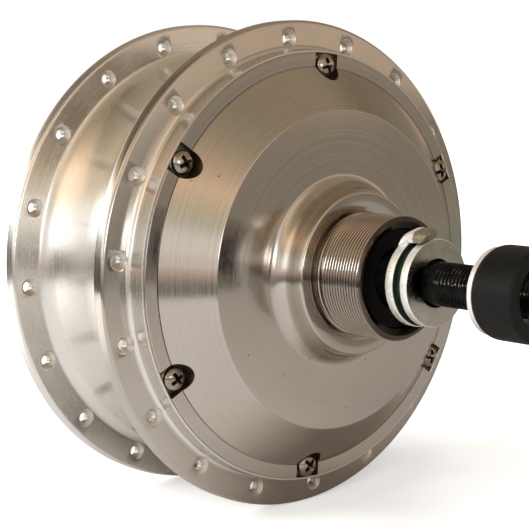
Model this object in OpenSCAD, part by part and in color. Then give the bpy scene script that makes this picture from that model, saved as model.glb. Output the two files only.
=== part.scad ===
// Geared rear hub motor for a bicycle, laid out along its axle.
// The axle lies along Y with the freewheel at the negative end, and Z is up.
// The origin is on the axle, midway between the two dropout faces.

/* [Axle] */
// Overall length of the axle
axle_length = 220; // [200:1:240]
// Distance between the faces that the frame's dropouts bear on
dropout_width = 135; // [134:0.5:140]
// Diameter of the threaded axle ends
axle_d = 12; // [11:0.5:12.5]
// Width across the two flats of the axle ends
axle_flat_width = 10.6; // [10:0.1:10.9]
// Bore for the motor cable
cable_bore_d = 7; // [5:0.5:7.5]
// Cross hole where the cable leaves the bore inside the motor
cable_exit_d = 6; // [4:0.5:6.5]
// Seat of the stator on the axle
stator_seat_d = 18; // [17.5:0.5:19]
// Width of the key under the clutch
key_width = 3; // [2:0.5:3.5]

/* [Axle hardware] */
// Outer diameter of the tab washers
tab_washer_d = 24.8; // [22:0.2:27]
// Thickness of the tab washers
tab_washer_t = 2.7; // [2:0.1:3]
// Width of the bent tab
tab_width = 6.8; // [5:0.1:9]
// How far the tab reaches past the dropout face
tab_reach = 6; // [3:0.5:9]
// Turn of the tab about the axle, from the top
tab_angle = 15.6; // [0:0.1:90]
// Outer diameter of the dark spacer
spacer_d = 22; // [18:0.5:24]
// Thickness of the dark spacer
spacer_t = 2.3; // [1.5:0.1:4]
// Outer diameter of the loose washer
washer_d = 24; // [20:0.5:26]
// Thickness of the loose washer
washer_t = 2.5; // [1.5:0.1:3]
// Bore of the spacer and the loose washer
washer_bore_d = 13; // [12.8:0.1:15]
// Gap from the loose washer to the nut's collar, with the nut run back
nut_gap = 20.4; // [8:0.1:24]
// Outer diameter of the nut's collar
nut_collar_d = 23.2; // [21:0.1:26]
// Thickness of the nut's collar
nut_collar_t = 1.6; // [1:0.1:3]
// Width across the flats of the nut
nut_flats = 18; // [17:0.5:19]
// Height of the nut
nut_h = 9; // [7:0.5:11]
// Outer diameter of the rubber nut cap
cap_d = 24.8; // [23.5:0.1:27]
// Length of the rubber nut cap
cap_l = 13.5; // [11:0.5:16]
// Open mouth of the nut cap
cap_mouth_d = 17; // [14:0.5:20]
// Rounding of the nut cap's inner shoulder
cap_shoulder = 2.6; // [1:0.1:4]

/* [Hub shell] */
// Outer diameter of the spoke flanges
flange_d = 143.4; // [139:0.2:150]
// Thickness of the spoke flanges
flange_t = 4.2; // [3.5:0.1:5]
// Outer face of the drive side flange, from the centre plane
drive_flange_offset = 18.5; // [18:0.1:20]
// Outer face of the left flange, from the centre plane
left_flange_offset = 29.9; // [29:0.1:31]
// Rounding of the flange rims
flange_edge = 0.9; // [0.3:0.1:1.5]
// Diameter of the drum between the flanges
drum_d = 116; // [114:0.5:120]
// Diameter where the drum's fillet meets a flange
drum_root_d = 127.8; // [125:0.2:129]
// Length of the drum's fillet along the axle
drum_root_l = 9.5; // [6:0.5:12]
// Inner diameter of the drum
shell_bore_d = 108; // [107.2:0.2:110]
// Outer diameter of the lip round the cover
lip_d = 126; // [125.8:0.1:127.4]
// Height of the lip above the flange
lip_h = 6.1; // [4:0.1:7]
// Fillet where the lip meets the flange
lip_fillet = 1.8; // [0.8:0.1:2]
// Diameter of the spoke hole circle
spoke_circle_d = 132.9; // [132.5:0.1:135]
// Number of spoke holes in each flange
spoke_count = 18; // [16:2:20]
// Diameter of a spoke hole
spoke_hole_d = 3; // [2.5:0.1:3.2]
// Diameter of a spoke hole's countersink
spoke_sink_d = 4.9; // [4:0.1:5.4]
// Turn of the drive side spoke holes, from the top
spoke_turn = 4.5; // [0:0.1:20]

/* [Left end] */
// Distance from the left dropout face to the brake disc face
disc_offset = 15.3; // [15:0.1:16.5]
// Diameter of the brake disc boss
disc_boss_d = 58; // [54:0.5:62]
// Bolt circle of the brake disc
disc_circle_d = 44; // [43.8:0.1:44.2]
// Number of brake disc bolts
disc_bolts = 6; // [3:1:6]
// Diameter of the brake disc bolt holes
disc_hole_d = 5; // [4.2:0.1:5]
// Depth of the brake disc bolt holes
disc_hole_l = 9; // [7:0.5:10]
// Diameter of the spigot that centres the brake disc
disc_spigot_d = 34.9; // [34.5:0.1:35.5]
// Height of the spigot that centres the brake disc
disc_spigot_h = 3; // [2:0.5:4]

/* [Drive cover] */
// Gap between the cover's rim and the lip
cover_gap = 0.15; // [0.05:0.05:0.3]
// Thickness of the lip
lip_t = 0.65; // [0.5:0.05:1]
// Thickness of the cover's flat rim
cover_rim_t = 4.6; // [4.2:0.1:5]
// Width of the cover's flat rim
cover_rim_w = 3.9; // [3:0.1:5]
// Height of the cover's cone
cone_h = 10.3; // [9.5:0.1:12]
// Diameter of the flat face inside the cone
cover_face_d = 92; // [90:0.5:96]
// Diameter of the boss at its front
boss_d = 46.4; // [45:0.2:50]
// Height of the boss above the flat face
boss_h = 8.5; // [8:0.1:10]
// Radial size of the fillet at the foot of the boss
boss_fillet_r = 4.1; // [2:0.1:5]
// Height of the fillet at the foot of the boss
boss_fillet_h = 6.2; // [3:0.1:6.5]
// Major diameter of the freewheel thread
freewheel_d = 34.7; // [34.5:0.1:35.5]
// Length of the freewheel thread
freewheel_l = 14; // [12:0.5:15]
// Diameter of the groove behind the freewheel thread
relief_d = 33.2; // [32.4:0.1:33.6]
// Width of the groove's opening in the boss
relief_open_d = 38.2; // [37:0.1:40]
// Number of cover screws
cover_screws_n = 6; // [4:1:8]
// Gap between the screws' washers and the lip
cover_screw_gap = 0.05; // [0.05:0.05:0.4]
// Turn of the cover screws, from the top
cover_screw_turn = -3.3; // [-30:0.1:30]
// Diameter of the cover screws
cover_screw_d = 4; // [3:0.5:4]
// Head diameter of the cover screws
cover_screw_head_d = 7; // [6:0.1:7]
// Head height of the cover screws
cover_screw_head_h = 2.6; // [2:0.1:3]
// Shank length of the cover screws
cover_screw_l = 10; // [8:0.5:10]
// Width of the pockets round the screws
pocket_w = 8.6; // [8:0.1:9]
// Metal left under the screws
pocket_floor_t = 2.3; // [1.8:0.1:3]
// Thickness of the spring washers
spring_washer_t = 1; // [0.8:0.1:1.2]

/* [Gears] */
// Size of the teeth
gear_module = 1; // [0.95:0.01:1]
// Pressure angle of the teeth
pressure_angle = 20; // [20:0.5:25]
// Teeth on the sun gear
sun_teeth = 21; // [21:3:24]
// Teeth on each planet gear
planet_teeth = 36; // [30:3:36]
// Play between meshing teeth
backlash = 0.3; // [0.2:0.05:0.4]
// Width of the ring gear
ring_gear_w = 11.5; // [10:0.5:12]
// Metal outside the ring gear's teeth
ring_gear_wall = 5.25; // [4.8:0.05:5.3]
// How far the ring gear's seat lies outside the cover's seat
ring_gear_sink = 3.5; // [3:0.1:3.8]
// Number of pins that key the ring gear
ring_pins_n = 6; // [3:1:9]
// Diameter of the pins that key the ring gear
ring_pin_d = 3; // [2:0.5:3]
// Length of the pins that key the ring gear
ring_pin_l = 6; // [5:0.5:6]
// Thickness of the planet carrier's plate
carrier_t = 4; // [3:0.5:4.5]
// Diameter of the planet carrier's plate
carrier_d = 70; // [66:1:76]
// Diameter of the planet carrier's hub
carrier_hub_d = 38; // [36:0.5:39]

/* [Clutch] */
// Outer diameter of the clutch's inner race
clutch_race_d = 19; // [18:0.2:20]
// Length of the clutch's inner race
clutch_race_l = 10; // [8:0.5:10.5]
// Outer diameter of the clutch's outer ring
clutch_ring_d = 31; // [29.5:0.2:32]
// Diameter of the clutch rollers
roller_d = 3.5; // [2.5:0.1:3.6]
// Number of clutch rollers
roller_count = 8; // [5:1:9]

/* [Motor] */
// Outer diameter of the rotor
rotor_d = 105; // [103:0.5:106]
// Wall of the rotor's steel drum
rotor_wall = 3; // [2:0.1:3.4]
// Thickness of the rotor's end plate
rotor_plate_t = 3; // [2.5:0.1:3.5]
// Thickness of the magnets
magnet_t = 3; // [2:0.1:3.4]
// Number of magnets
magnet_count = 20; // [16:2:22]
// Air gap between the magnets and the stator
air_gap = 0.6; // [0.4:0.1:1]
// Number of stator teeth
slot_count = 18; // [15:3:18]
// Length of the stator core
core_l = 20; // [16:0.5:20.5]
// Diameter of the stator core's bore
core_bore_d = 60; // [56:1:61]
// Width of a stator tooth
tooth_w = 5; // [4:0.1:5.2]
// Thickness of the wire on each side of a tooth
coil_t = 3; // [2:0.1:3.1]
// Thickness of the sensor board
board_t = 1.6; // [1:0.1:2]

/* [Bearings] */
// Bore of the drive side bearing
drive_bearing_bore = 15; // [14.5:0.5:16]
// Outer diameter of the drive side bearing
drive_bearing_d = 28; // [26:0.5:28]
// Width of the drive side bearing
drive_bearing_w = 7; // [6:0.5:7]
// Bore of the left bearing
left_bearing_bore = 17; // [16:0.5:17]
// Outer diameter of the left bearing
left_bearing_d = 35; // [32:0.5:36]
// Width of the left bearing
left_bearing_w = 10; // [8:0.5:10.5]
// Outer diameter of the rotor bearing
rotor_bearing_d = 24; // [21:0.5:26]
// Width of the rotor bearing
rotor_bearing_w = 6; // [5:0.5:6]
// Bore of the planet bearings
planet_bearing_bore = 8; // [7:0.5:9]
// Outer diameter of the planet bearings
planet_bearing_d = 22; // [19:0.5:22]
// Width of the planet bearings
planet_bearing_w = 7; // [6:0.5:8]

/* [Clearances] */
// Radial gap of pieces that are pressed or keyed together
press_gap = 0.02; // [0.01:0.01:0.04]
// Radial gap of pieces that turn on each other
running_gap = 0.1; // [0.06:0.01:0.15]
// Gap between faces that pass each other
face_gap = 0.3; // [0.2:0.05:0.5]

/* [Hidden] */

$fn = 96;

// Depth by which a cutter passes a face
eps = 0.5;
// Chamfer on small turned edges
small_edge = 0.5;

// Dropout faces and the shoulders that carry the tab washers
dropout_y = dropout_width / 2;
shoulder_y = dropout_y - tab_washer_t;

// Flanges and drum of the shell
drive_y = -drive_flange_offset;
drive_inner_y = drive_y + flange_t;
left_y = left_flange_offset;
left_inner_y = left_y - flange_t;
flange_r = flange_d / 2;
drum_r = drum_d / 2;
drum_root_r = drum_root_d / 2;
shell_bore_r = shell_bore_d / 2;
lip_r = lip_d / 2;
lip_y = drive_y - lip_h;
spoke_pitch = 360 / spoke_count;
// Depth of a spoke hole's countersink
spoke_sink_h = 1;

// Cover, from its seat outward
cover_r = lip_r - lip_t - cover_gap;
cover_seat_h = 2;
cover_seat_y = drive_y - cover_seat_h;
cover_ring_y = cover_seat_y - cover_rim_t;
cover_face_y = cover_ring_y - cone_h;
boss_y = cover_face_y - boss_h;
relief_w = 1.3;
relief_depth = 1.6;
thread_y = boss_y - relief_w;
thread_end_y = thread_y - freewheel_l;
thread_chamfer = 0.8;
cover_end_y = thread_end_y - thread_chamfer;
pocket_y = cover_seat_y - pocket_floor_t;
spring_washer_r = cover_screw_head_d / 2 + 0.1;
screw_circle_r = lip_r - lip_t - cover_screw_gap - spring_washer_r;

// Drive side bearing and seal in the cover
bearing_lip = 1.5;
drive_bearing_y = boss_y - 0.8;
recess_y = drive_bearing_y + drive_bearing_w + 1.2;
recess_r = carrier_hub_d / 2 + 1.5;
seal_w = 4.6;
seal_face_y = cover_end_y + 2.4;
seal_seat_y = seal_face_y + seal_w + face_gap;
sleeve_r = drive_bearing_bore / 2 - press_gap;

// Gear train, from the ring gear's seat inward
ring_teeth = sun_teeth + 2 * planet_teeth;
ring_seat_y = cover_seat_y - ring_gear_sink;
ring_end_y = ring_seat_y + ring_gear_w;
ring_root_r = gear_module * (ring_teeth / 2 + 1.25);
ring_r = ring_root_r + ring_gear_wall;
ring_pin_circle_r = ring_root_r + ring_gear_wall / 2;
gear_side_gap = 0.5;
gear_y = ring_seat_y + gear_side_gap;
gear_w = ring_gear_w - 2 * gear_side_gap;
planet_orbit_r = gear_module * (sun_teeth + planet_teeth) / 2;
planet_count = 3;
planet_first_angle = -90;
sun_bore_r = axle_d / 2 + 1.6;

// Planet carrier and clutch
carrier_top_y = gear_y - 1;
carrier_y = carrier_top_y - carrier_t;
clutch_top_y = carrier_top_y + gear_side_gap;
clutch_y = clutch_top_y - clutch_race_l;
clutch_ring_l = clutch_race_l - 2;
clutch_race_r = clutch_race_d / 2;
clutch_ring_r = clutch_ring_d / 2;
roller_orbit_r = clutch_race_r + running_gap + roller_d / 2;
planet_bearing_y = gear_y + 1;
pin_collar_r = planet_bearing_bore / 2 + 1.4;
circlip_t = 1;

// Rotor and stator
rotor_y = ring_end_y + 1;
rotor_top_y = rotor_y + rotor_plate_t;
rotor_r = rotor_d / 2;
magnet_r = rotor_r - rotor_wall;
magnet_inner_r = magnet_r - magnet_t;
core_r = magnet_inner_r - air_gap;
rotor_bearing_y = rotor_y + 1.9;
rotor_bearing_r = rotor_bearing_d / 2;
coil_gap = 0.2;
coil_half_w = tooth_w / 2 + coil_gap + coil_t;
coil_end_gap = 2.8;
core_y = rotor_top_y + coil_end_gap + coil_half_w;
core_end_y = core_y + core_l;
yoke_t = 4.5;
yoke_r = core_bore_d / 2 + yoke_t;
shoe_h = 1.6;
coil_r0 = yoke_r + face_gap;
coil_r1 = core_r - shoe_h - 0.4;
board_y = core_end_y + coil_half_w + face_gap;

// Axle stations between the rotor bearing and the left shoulder
axle_r = axle_d / 2;
stub_r = axle_r + 1.8;
collar_r = stator_seat_d / 2 + 2;
collar_y = rotor_bearing_y + rotor_bearing_w + 0.6;
stator_seat_r = stator_seat_d / 2;
support_end_y = core_end_y + 2;
left_seat_r = left_bearing_bore / 2;
left_seat_y = support_end_y + 2.2;

// Left end of the shell
disc_y = dropout_y - disc_offset;
left_bearing_y = disc_y - 4.2 - left_bearing_w;
left_bearing_r = left_bearing_d / 2;
left_seal_r = 14;
spigot_y = disc_y + disc_spigot_h;
cable_exit_y = (left_seat_y + left_bearing_y) / 2 - 0.6;

function arc(centre, rx, ry, from, to, steps) = [
    for (i = [0 : steps])
        let (a = from + (to - from) * i / steps)
        [centre[0] + rx * cos(a), centre[1] + ry * sin(a)]
];

// Stands a piece that was turned about Z onto the axle, with Z along Y
module on_axle() {
    rotate([-90, 0, 0]) children();
}

// Turns points of [radius, place along the axle] into a solid
module turned(points) {
    rotate_extrude() polygon(points);
}

// Plain ring between two radii and two places along the axle
module ring(inner_r, outer_r, y0, y1) {
    difference() {
        translate([0, 0, y0]) cylinder(r = outer_r, h = y1 - y0);
        translate([0, 0, y0 - eps]) cylinder(r = inner_r, h = y1 - y0 + 2 * eps);
    }
}

// Copies on a circle, turned from the top of the hub toward negative X
module around(count, radius, turn = 0) {
    for (i = [0 : count - 1])
        rotate([0, 0, -90 - turn - i * 360 / count]) translate([radius, 0, 0]) children();
}

// Hub shell

function rim(y0, y1) = concat(
    arc([flange_r - flange_edge, y0 + flange_edge], flange_edge, flange_edge, -90, 0, 3),
    arc([flange_r - flange_edge, y1 - flange_edge], flange_edge, flange_edge, 0, 90, 3)
);

function shell_outline() =
    let (
        fillet_r = drum_root_r - drum_r,
        end_fillet = 2,
        end_r = lip_r - 0.6,
        boss_r = disc_boss_d / 2,
        boss_fillet = 3,
        boss_foot_y = disc_y - 6
    )
    concat(
        [
            [shell_bore_r, cover_seat_y],
            [lip_r - lip_t, cover_seat_y],
            [lip_r - lip_t, lip_y],
            [lip_r, lip_y]
        ],
        arc([lip_r + lip_fillet, drive_y - lip_fillet], lip_fillet, lip_fillet, 180, 90, 6),
        rim(drive_y, drive_inner_y),
        arc([drum_root_r, drive_inner_y + drum_root_l], fillet_r, drum_root_l, 270, 180, 12),
        arc([drum_root_r, left_inner_y - drum_root_l], fillet_r, drum_root_l, 180, 90, 12),
        rim(left_inner_y, left_y),
        arc([end_r, left_y + end_fillet], end_fillet, end_fillet, 270, 220, 3),
        arc([boss_r + boss_fillet, boss_foot_y], boss_fillet, boss_fillet, 245, 180, 4),
        [
            [boss_r, disc_y - small_edge],
            [boss_r - small_edge, disc_y],
            [disc_spigot_d / 2, disc_y],
            [disc_spigot_d / 2, spigot_y - small_edge],
            [disc_spigot_d / 2 - small_edge, spigot_y],
            [left_seal_r, spigot_y],
            [left_seal_r, left_bearing_y + left_bearing_w],
            [left_bearing_r, left_bearing_y + left_bearing_w],
            [left_bearing_r, left_bearing_y - 1],
            [left_bearing_r + 4, left_bearing_y - 1],
            [left_bearing_r + 4, left_bearing_y + 0.6],
            [boss_r + 1, left_bearing_y + 0.6],
            [shell_bore_r - 2, left_y - 0.1],
            [shell_bore_r, left_y - 2.4]
        ]
    );

// Through hole with a countersink on both sides of a flange
module spoke_hole(y0) {
    sink_r = spoke_sink_d / 2;
    slope = (sink_r - spoke_hole_d / 2) / spoke_sink_h;
    wide_r = sink_r + slope * eps;
    tip_r = spoke_hole_d / 2 - slope * eps;
    cone_l = spoke_sink_h + 2 * eps;
    translate([0, 0, y0 - eps]) cylinder(d = spoke_hole_d, h = flange_t + 2 * eps);
    translate([0, 0, y0 - eps]) cylinder(r1 = wide_r, r2 = tip_r, h = cone_l);
    translate([0, 0, y0 + flange_t - spoke_sink_h - eps]) cylinder(r1 = tip_r, r2 = wide_r, h = cone_l);
}

module hub_shell() {
    screw_hole_l = cover_screw_l - pocket_floor_t - spring_washer_t + 0.4;
    color("#b9b2a8") on_axle() difference() {
        turned(shell_outline());
        around(spoke_count, spoke_circle_d / 2, spoke_turn) spoke_hole(drive_y);
        around(spoke_count, spoke_circle_d / 2, spoke_turn + spoke_pitch / 2) spoke_hole(left_inner_y);
        around(cover_screws_n, screw_circle_r, cover_screw_turn)
            translate([0, 0, cover_seat_y - eps]) cylinder(d = cover_screw_d, h = screw_hole_l + eps);
        around(disc_bolts, disc_circle_d / 2)
            translate([0, 0, disc_y - disc_hole_l]) cylinder(d = disc_hole_d, h = disc_hole_l + eps);
    }
}

// Drive side cover with the freewheel thread

function cover_outline() =
    let (
        face_r = cover_face_d / 2,
        boss_r = boss_d / 2,
        fillet_end_r = boss_r + 0.7,
        fillet_end_y = cover_face_y - boss_fillet_h,
        thread_r = freewheel_d / 2,
        relief_r = relief_d / 2,
        bearing_r = drive_bearing_d / 2,
        mouth_chamfer = 1.2,
        ring_recess_r = ring_r + press_gap,
        wall = 4
    )
    concat(
        [
            [ring_recess_r, cover_seat_y],
            [cover_r, cover_seat_y],
            [cover_r, cover_ring_y + 0.3],
            [cover_r - 0.3, cover_ring_y],
            [cover_r - cover_rim_w, cover_ring_y],
            [face_r, cover_face_y]
        ],
        arc([fillet_end_r + boss_fillet_r, fillet_end_y], boss_fillet_r, boss_fillet_h, 90, 180, 10),
        [
            [boss_r + 0.1, boss_y + 0.6],
            [boss_r - 0.2, boss_y + 0.2],
            [boss_r - small_edge, boss_y],
            [relief_open_d / 2, boss_y],
            [relief_open_d / 2, boss_y + relief_depth],
            [relief_r, boss_y + relief_depth],
            [relief_r, thread_y + 0.3],
            [thread_r, thread_y],
            [thread_r, thread_end_y],
            [thread_r - 0.62, cover_end_y],
            [bearing_r + 1.7, cover_end_y],
            [bearing_r, cover_end_y + mouth_chamfer],
            [bearing_r, seal_seat_y],
            [bearing_r - bearing_lip, seal_seat_y],
            [bearing_r - bearing_lip, drive_bearing_y],
            [bearing_r, drive_bearing_y],
            [bearing_r, recess_y],
            [recess_r, recess_y],
            [recess_r, cover_face_y + wall],
            [face_r - 4, cover_face_y + wall],
            [ring_root_r + 0.4, ring_seat_y - 1.4],
            [ring_root_r + 0.4, ring_seat_y],
            [ring_recess_r, ring_seat_y]
        ]
    );

// Pocket with a round inner end, open to the lip
module screw_pocket() {
    depth = pocket_y - cover_face_y;
    translate([0, 0, cover_face_y]) cylinder(d = pocket_w, h = depth);
    translate([0, -pocket_w / 2, cover_face_y]) cube([pocket_w, pocket_w, depth]);
}

module drive_cover() {
    color("#b4aca2") on_axle() difference() {
        turned(cover_outline());
        around(cover_screws_n, screw_circle_r, cover_screw_turn) {
            screw_pocket();
            translate([0, 0, pocket_y - eps]) cylinder(d = cover_screw_d + 0.4, h = 2 * pocket_floor_t);
        }
        around(ring_pins_n, ring_pin_circle_r, cover_screw_turn + 30)
            translate([0, 0, ring_seat_y - ring_pin_l / 2 - 0.2])
                cylinder(r = ring_pin_d / 2 + press_gap, h = ring_pin_l);
    }
}

// Pan head screw with a cross recess, its head facing the drive side
module cover_screw() {
    head_r = cover_screw_head_d / 2;
    seat_y = pocket_y - spring_washer_t;
    recess_w = 1;
    recess_l = 4.2;
    recess_h = 1.5;
    difference() {
        turned(concat(
            [
                [0, seat_y + cover_screw_l],
                [cover_screw_d / 2 - 0.6, seat_y + cover_screw_l],
                [cover_screw_d / 2 - 0.1, seat_y + cover_screw_l - small_edge],
                [cover_screw_d / 2 - 0.1, seat_y],
                [head_r - 0.2, seat_y]
            ],
            arc([head_r - 1.5, seat_y - cover_screw_head_h + 1.6], 1.5, 1.6, 0, -90, 5),
            [[0, seat_y - cover_screw_head_h]]
        ));
        for (turn = [0, 90])
            rotate([0, 0, turn]) translate([0, 0, seat_y - cover_screw_head_h + (recess_h - eps) / 2])
                cube([recess_l, recess_w, recess_h + eps], center = true);
    }
}

module cover_screws() {
    color("#8f887c") on_axle()
        around(cover_screws_n, screw_circle_r, cover_screw_turn) rotate([0, 0, 20]) cover_screw();
}

// Split spring washers under the cover screws
module spring_washers() {
    split_w = 0.6;
    color("#8f887c") on_axle()
        around(cover_screws_n, screw_circle_r, cover_screw_turn) difference() {
            ring(cover_screw_d / 2 + 0.1, spring_washer_r, pocket_y - spring_washer_t, pocket_y);
            rotate([0, 25, 0]) translate([0, -split_w / 2, pocket_y - 5])
                cube([8, split_w, 10]);
        }
}

// Gears

function involute(angle) = tan(angle) - angle * PI / 180;

// Half of the angle that a tooth fills at radius r
function tooth_half_angle(teeth, thinning, r) =
    let (
        pitch_r = gear_module * teeth / 2,
        base_r = pitch_r * cos(pressure_angle),
        at_pitch = (PI * gear_module / 2 - thinning) / (2 * pitch_r),
        flank = acos(min(1, base_r / r))
    )
    (at_pitch + involute(pressure_angle) - involute(flank)) * 180 / PI;

// Outline of a gear with its tooth 0 on X
function gear_outline(teeth, thinning, root_r, tip_r) =
    let (
        pitch_r = gear_module * teeth / 2,
        low_r = max(root_r, pitch_r * cos(pressure_angle)),
        flank_r = [low_r, (low_r + tip_r) / 2, tip_r]
    )
    [
        for (i = [0 : teeth - 1])
            let (
                centre = i * 360 / teeth,
                half = [for (r = flank_r) tooth_half_angle(teeth, thinning, r)],
                low = centre - half[0]
            )
            each concat(
                root_r < low_r ? [[root_r * cos(low), root_r * sin(low)]] : [],
                [for (k = [0 : 2]) let (a = centre - half[k]) [flank_r[k] * cos(a), flank_r[k] * sin(a)]],
                [for (k = [2, 1, 0]) let (a = centre + half[k]) [flank_r[k] * cos(a), flank_r[k] * sin(a)]],
                root_r < low_r
                    ? [[root_r * cos(centre + half[0]), root_r * sin(centre + half[0])]]
                    : []
            )
    ];

module external_gear(teeth) {
    pitch_r = gear_module * teeth / 2;
    polygon(gear_outline(teeth, backlash / 2, pitch_r - 1.25 * gear_module, pitch_r + gear_module));
}

// The cutter has the shape of a gear with thicker teeth
module ring_gear_cutter() {
    tip_r = gear_module * (ring_teeth / 2 - 1);
    turn = planet_teeth % 2 == 0 ? 180 / ring_teeth : 0;
    rotate(planet_first_angle + turn)
        polygon(gear_outline(ring_teeth, -backlash / 2, tip_r, ring_root_r));
}

module ring_gear() {
    color("#6f7278") on_axle() difference() {
        translate([0, 0, ring_seat_y]) cylinder(r = ring_r, h = ring_gear_w);
        translate([0, 0, ring_seat_y - eps]) linear_extrude(ring_gear_w + 2 * eps) ring_gear_cutter();
        around(ring_pins_n, ring_pin_circle_r, cover_screw_turn + 30)
            translate([0, 0, ring_seat_y - eps])
                cylinder(r = ring_pin_d / 2 + press_gap, h = ring_pin_l / 2 + eps + 0.2);
    }
}

module ring_gear_pins() {
    color("#9a9a9a") on_axle() around(ring_pins_n, ring_pin_circle_r, cover_screw_turn + 30)
        translate([0, 0, ring_seat_y - ring_pin_l / 2]) cylinder(d = ring_pin_d, h = ring_pin_l);
}

module sun_gear() {
    spigot_y = gear_y + gear_w + 0.2;
    spigot_r = rotor_bearing_r - press_gap;
    color("#7c8087") on_axle() difference() {
        union() {
            translate([0, 0, gear_y]) linear_extrude(spigot_y - gear_y)
                rotate(planet_first_angle) external_gear(sun_teeth);
            translate([0, 0, spigot_y]) cylinder(r = spigot_r, h = rotor_bearing_y - spigot_y);
        }
        translate([0, 0, gear_y - eps]) cylinder(r = sun_bore_r, h = rotor_bearing_y - gear_y + 2 * eps);
    }
}

// Moves a piece from the axle to planet 0, 1 or 2
module at_planet(index) {
    rotate([0, 0, planet_first_angle + index * 360 / planet_count])
        translate([planet_orbit_r, 0, 0]) children();
}

module planet_gear(index) {
    bearing_r = planet_bearing_d / 2;
    lip_h = planet_bearing_y - gear_y;
    color("#e8e4d6") on_axle() at_planet(index) difference() {
        translate([0, 0, gear_y]) linear_extrude(gear_w)
            rotate(180 + 180 / planet_teeth) external_gear(planet_teeth);
        translate([0, 0, gear_y - eps]) cylinder(r = bearing_r - 1, h = gear_w + 2 * eps);
        translate([0, 0, gear_y + lip_h]) cylinder(r = bearing_r, h = gear_w);
    }
}

// Ball bearings

function ball_r(bore, outer) = 0.14 * (outer - bore);
function ball_orbit(bore, outer) = (outer + bore) / 4;

module race_groove(bore, outer, width) {
    translate([ball_orbit(bore, outer), width / 2]) circle(r = ball_r(bore, outer) + running_gap);
}

module bearing_outer(bore, outer, width) {
    inner_r = ball_orbit(bore, outer) + 0.55 * ball_r(bore, outer);
    rotate_extrude() difference() {
        translate([inner_r, 0]) square([outer / 2 - press_gap - inner_r, width]);
        race_groove(bore, outer, width);
    }
}

module bearing_inner(bore, outer, width) {
    outer_r = ball_orbit(bore, outer) - 0.55 * ball_r(bore, outer);
    rotate_extrude() difference() {
        translate([bore / 2, 0]) square([outer_r - bore / 2, width]);
        race_groove(bore, outer, width);
    }
}

module bearing_balls(bore, outer, width) {
    r = ball_r(bore, outer);
    orbit = ball_orbit(bore, outer);
    count = floor(360 / (2 * asin(1.15 * r / orbit)));
    for (i = [0 : count - 1])
        rotate([0, 0, i * 360 / count]) translate([orbit, 0, width / 2]) sphere(r = r);
}

module drive_bearing_outer() {
    color("#a7a9ac") on_axle() translate([0, 0, drive_bearing_y])
        bearing_outer(drive_bearing_bore, drive_bearing_d, drive_bearing_w);
}

module drive_bearing_inner() {
    color("#a7a9ac") on_axle() translate([0, 0, drive_bearing_y])
        bearing_inner(drive_bearing_bore, drive_bearing_d, drive_bearing_w);
}

module drive_bearing_balls() {
    color("#d0d2d4") on_axle() translate([0, 0, drive_bearing_y])
        bearing_balls(drive_bearing_bore, drive_bearing_d, drive_bearing_w);
}

module left_bearing_outer() {
    color("#a7a9ac") on_axle() translate([0, 0, left_bearing_y])
        bearing_outer(left_bearing_bore, left_bearing_d, left_bearing_w);
}

module left_bearing_inner() {
    color("#a7a9ac") on_axle() translate([0, 0, left_bearing_y])
        bearing_inner(left_bearing_bore, left_bearing_d, left_bearing_w);
}

module left_bearing_balls() {
    color("#d0d2d4") on_axle() translate([0, 0, left_bearing_y])
        bearing_balls(left_bearing_bore, left_bearing_d, left_bearing_w);
}

module rotor_bearing_outer() {
    color("#a7a9ac") on_axle() translate([0, 0, rotor_bearing_y])
        bearing_outer(axle_d, rotor_bearing_d, rotor_bearing_w);
}

module rotor_bearing_inner() {
    color("#a7a9ac") on_axle() translate([0, 0, rotor_bearing_y])
        bearing_inner(axle_d, rotor_bearing_d, rotor_bearing_w);
}

module rotor_bearing_balls() {
    color("#d0d2d4") on_axle() translate([0, 0, rotor_bearing_y])
        bearing_balls(axle_d, rotor_bearing_d, rotor_bearing_w);
}

module planet_bearing_outer(index) {
    color("#a7a9ac") on_axle() at_planet(index) translate([0, 0, planet_bearing_y])
        bearing_outer(planet_bearing_bore, planet_bearing_d, planet_bearing_w);
}

module planet_bearing_inners() {
    color("#a7a9ac") on_axle() for (index = [0 : planet_count - 1])
        at_planet(index) translate([0, 0, planet_bearing_y])
            bearing_inner(planet_bearing_bore, planet_bearing_d, planet_bearing_w);
}

module planet_bearing_balls() {
    color("#d0d2d4") on_axle() for (index = [0 : planet_count - 1])
        at_planet(index) translate([0, 0, planet_bearing_y])
            bearing_balls(planet_bearing_bore, planet_bearing_d, planet_bearing_w);
}

// Rubber lip seal between two radii, its lip on the turning shaft
module lip_seal(shaft_r, seat_r, y0, width) {
    web_t = 1.2;
    lip_w = 2.2;
    turned([
        [shaft_r + 1.2, y0],
        [seat_r - press_gap, y0],
        [seat_r - press_gap, y0 + width],
        [seat_r - 1.4, y0 + width],
        [seat_r - 1.4, y0 + web_t],
        [shaft_r + 1.9, y0 + web_t],
        [shaft_r + running_gap, y0 + lip_w + 0.6],
        [shaft_r + running_gap, y0 + lip_w]
    ]);
}

module drive_seal() {
    color("#1c1c1c") on_axle() lip_seal(sleeve_r, drive_bearing_d / 2, seal_face_y, seal_w);
}

module left_seal() {
    color("#1c1c1c") on_axle() translate([0, 0, spigot_y + left_bearing_y + left_bearing_w + face_gap])
        mirror([0, 0, 1]) lip_seal(left_seat_r, left_seal_r, left_bearing_y + left_bearing_w + 1.2, seal_w);
}

// Axle and what is fixed to it

module axle_end_flats(y0, y1) {
    for (side = [-1, 1])
        translate([side * (axle_flat_width / 2 + axle_r) - axle_r, -axle_r - eps, y0])
            cube([2 * axle_r, 2 * axle_r + 2 * eps, y1 - y0]);
}

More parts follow.
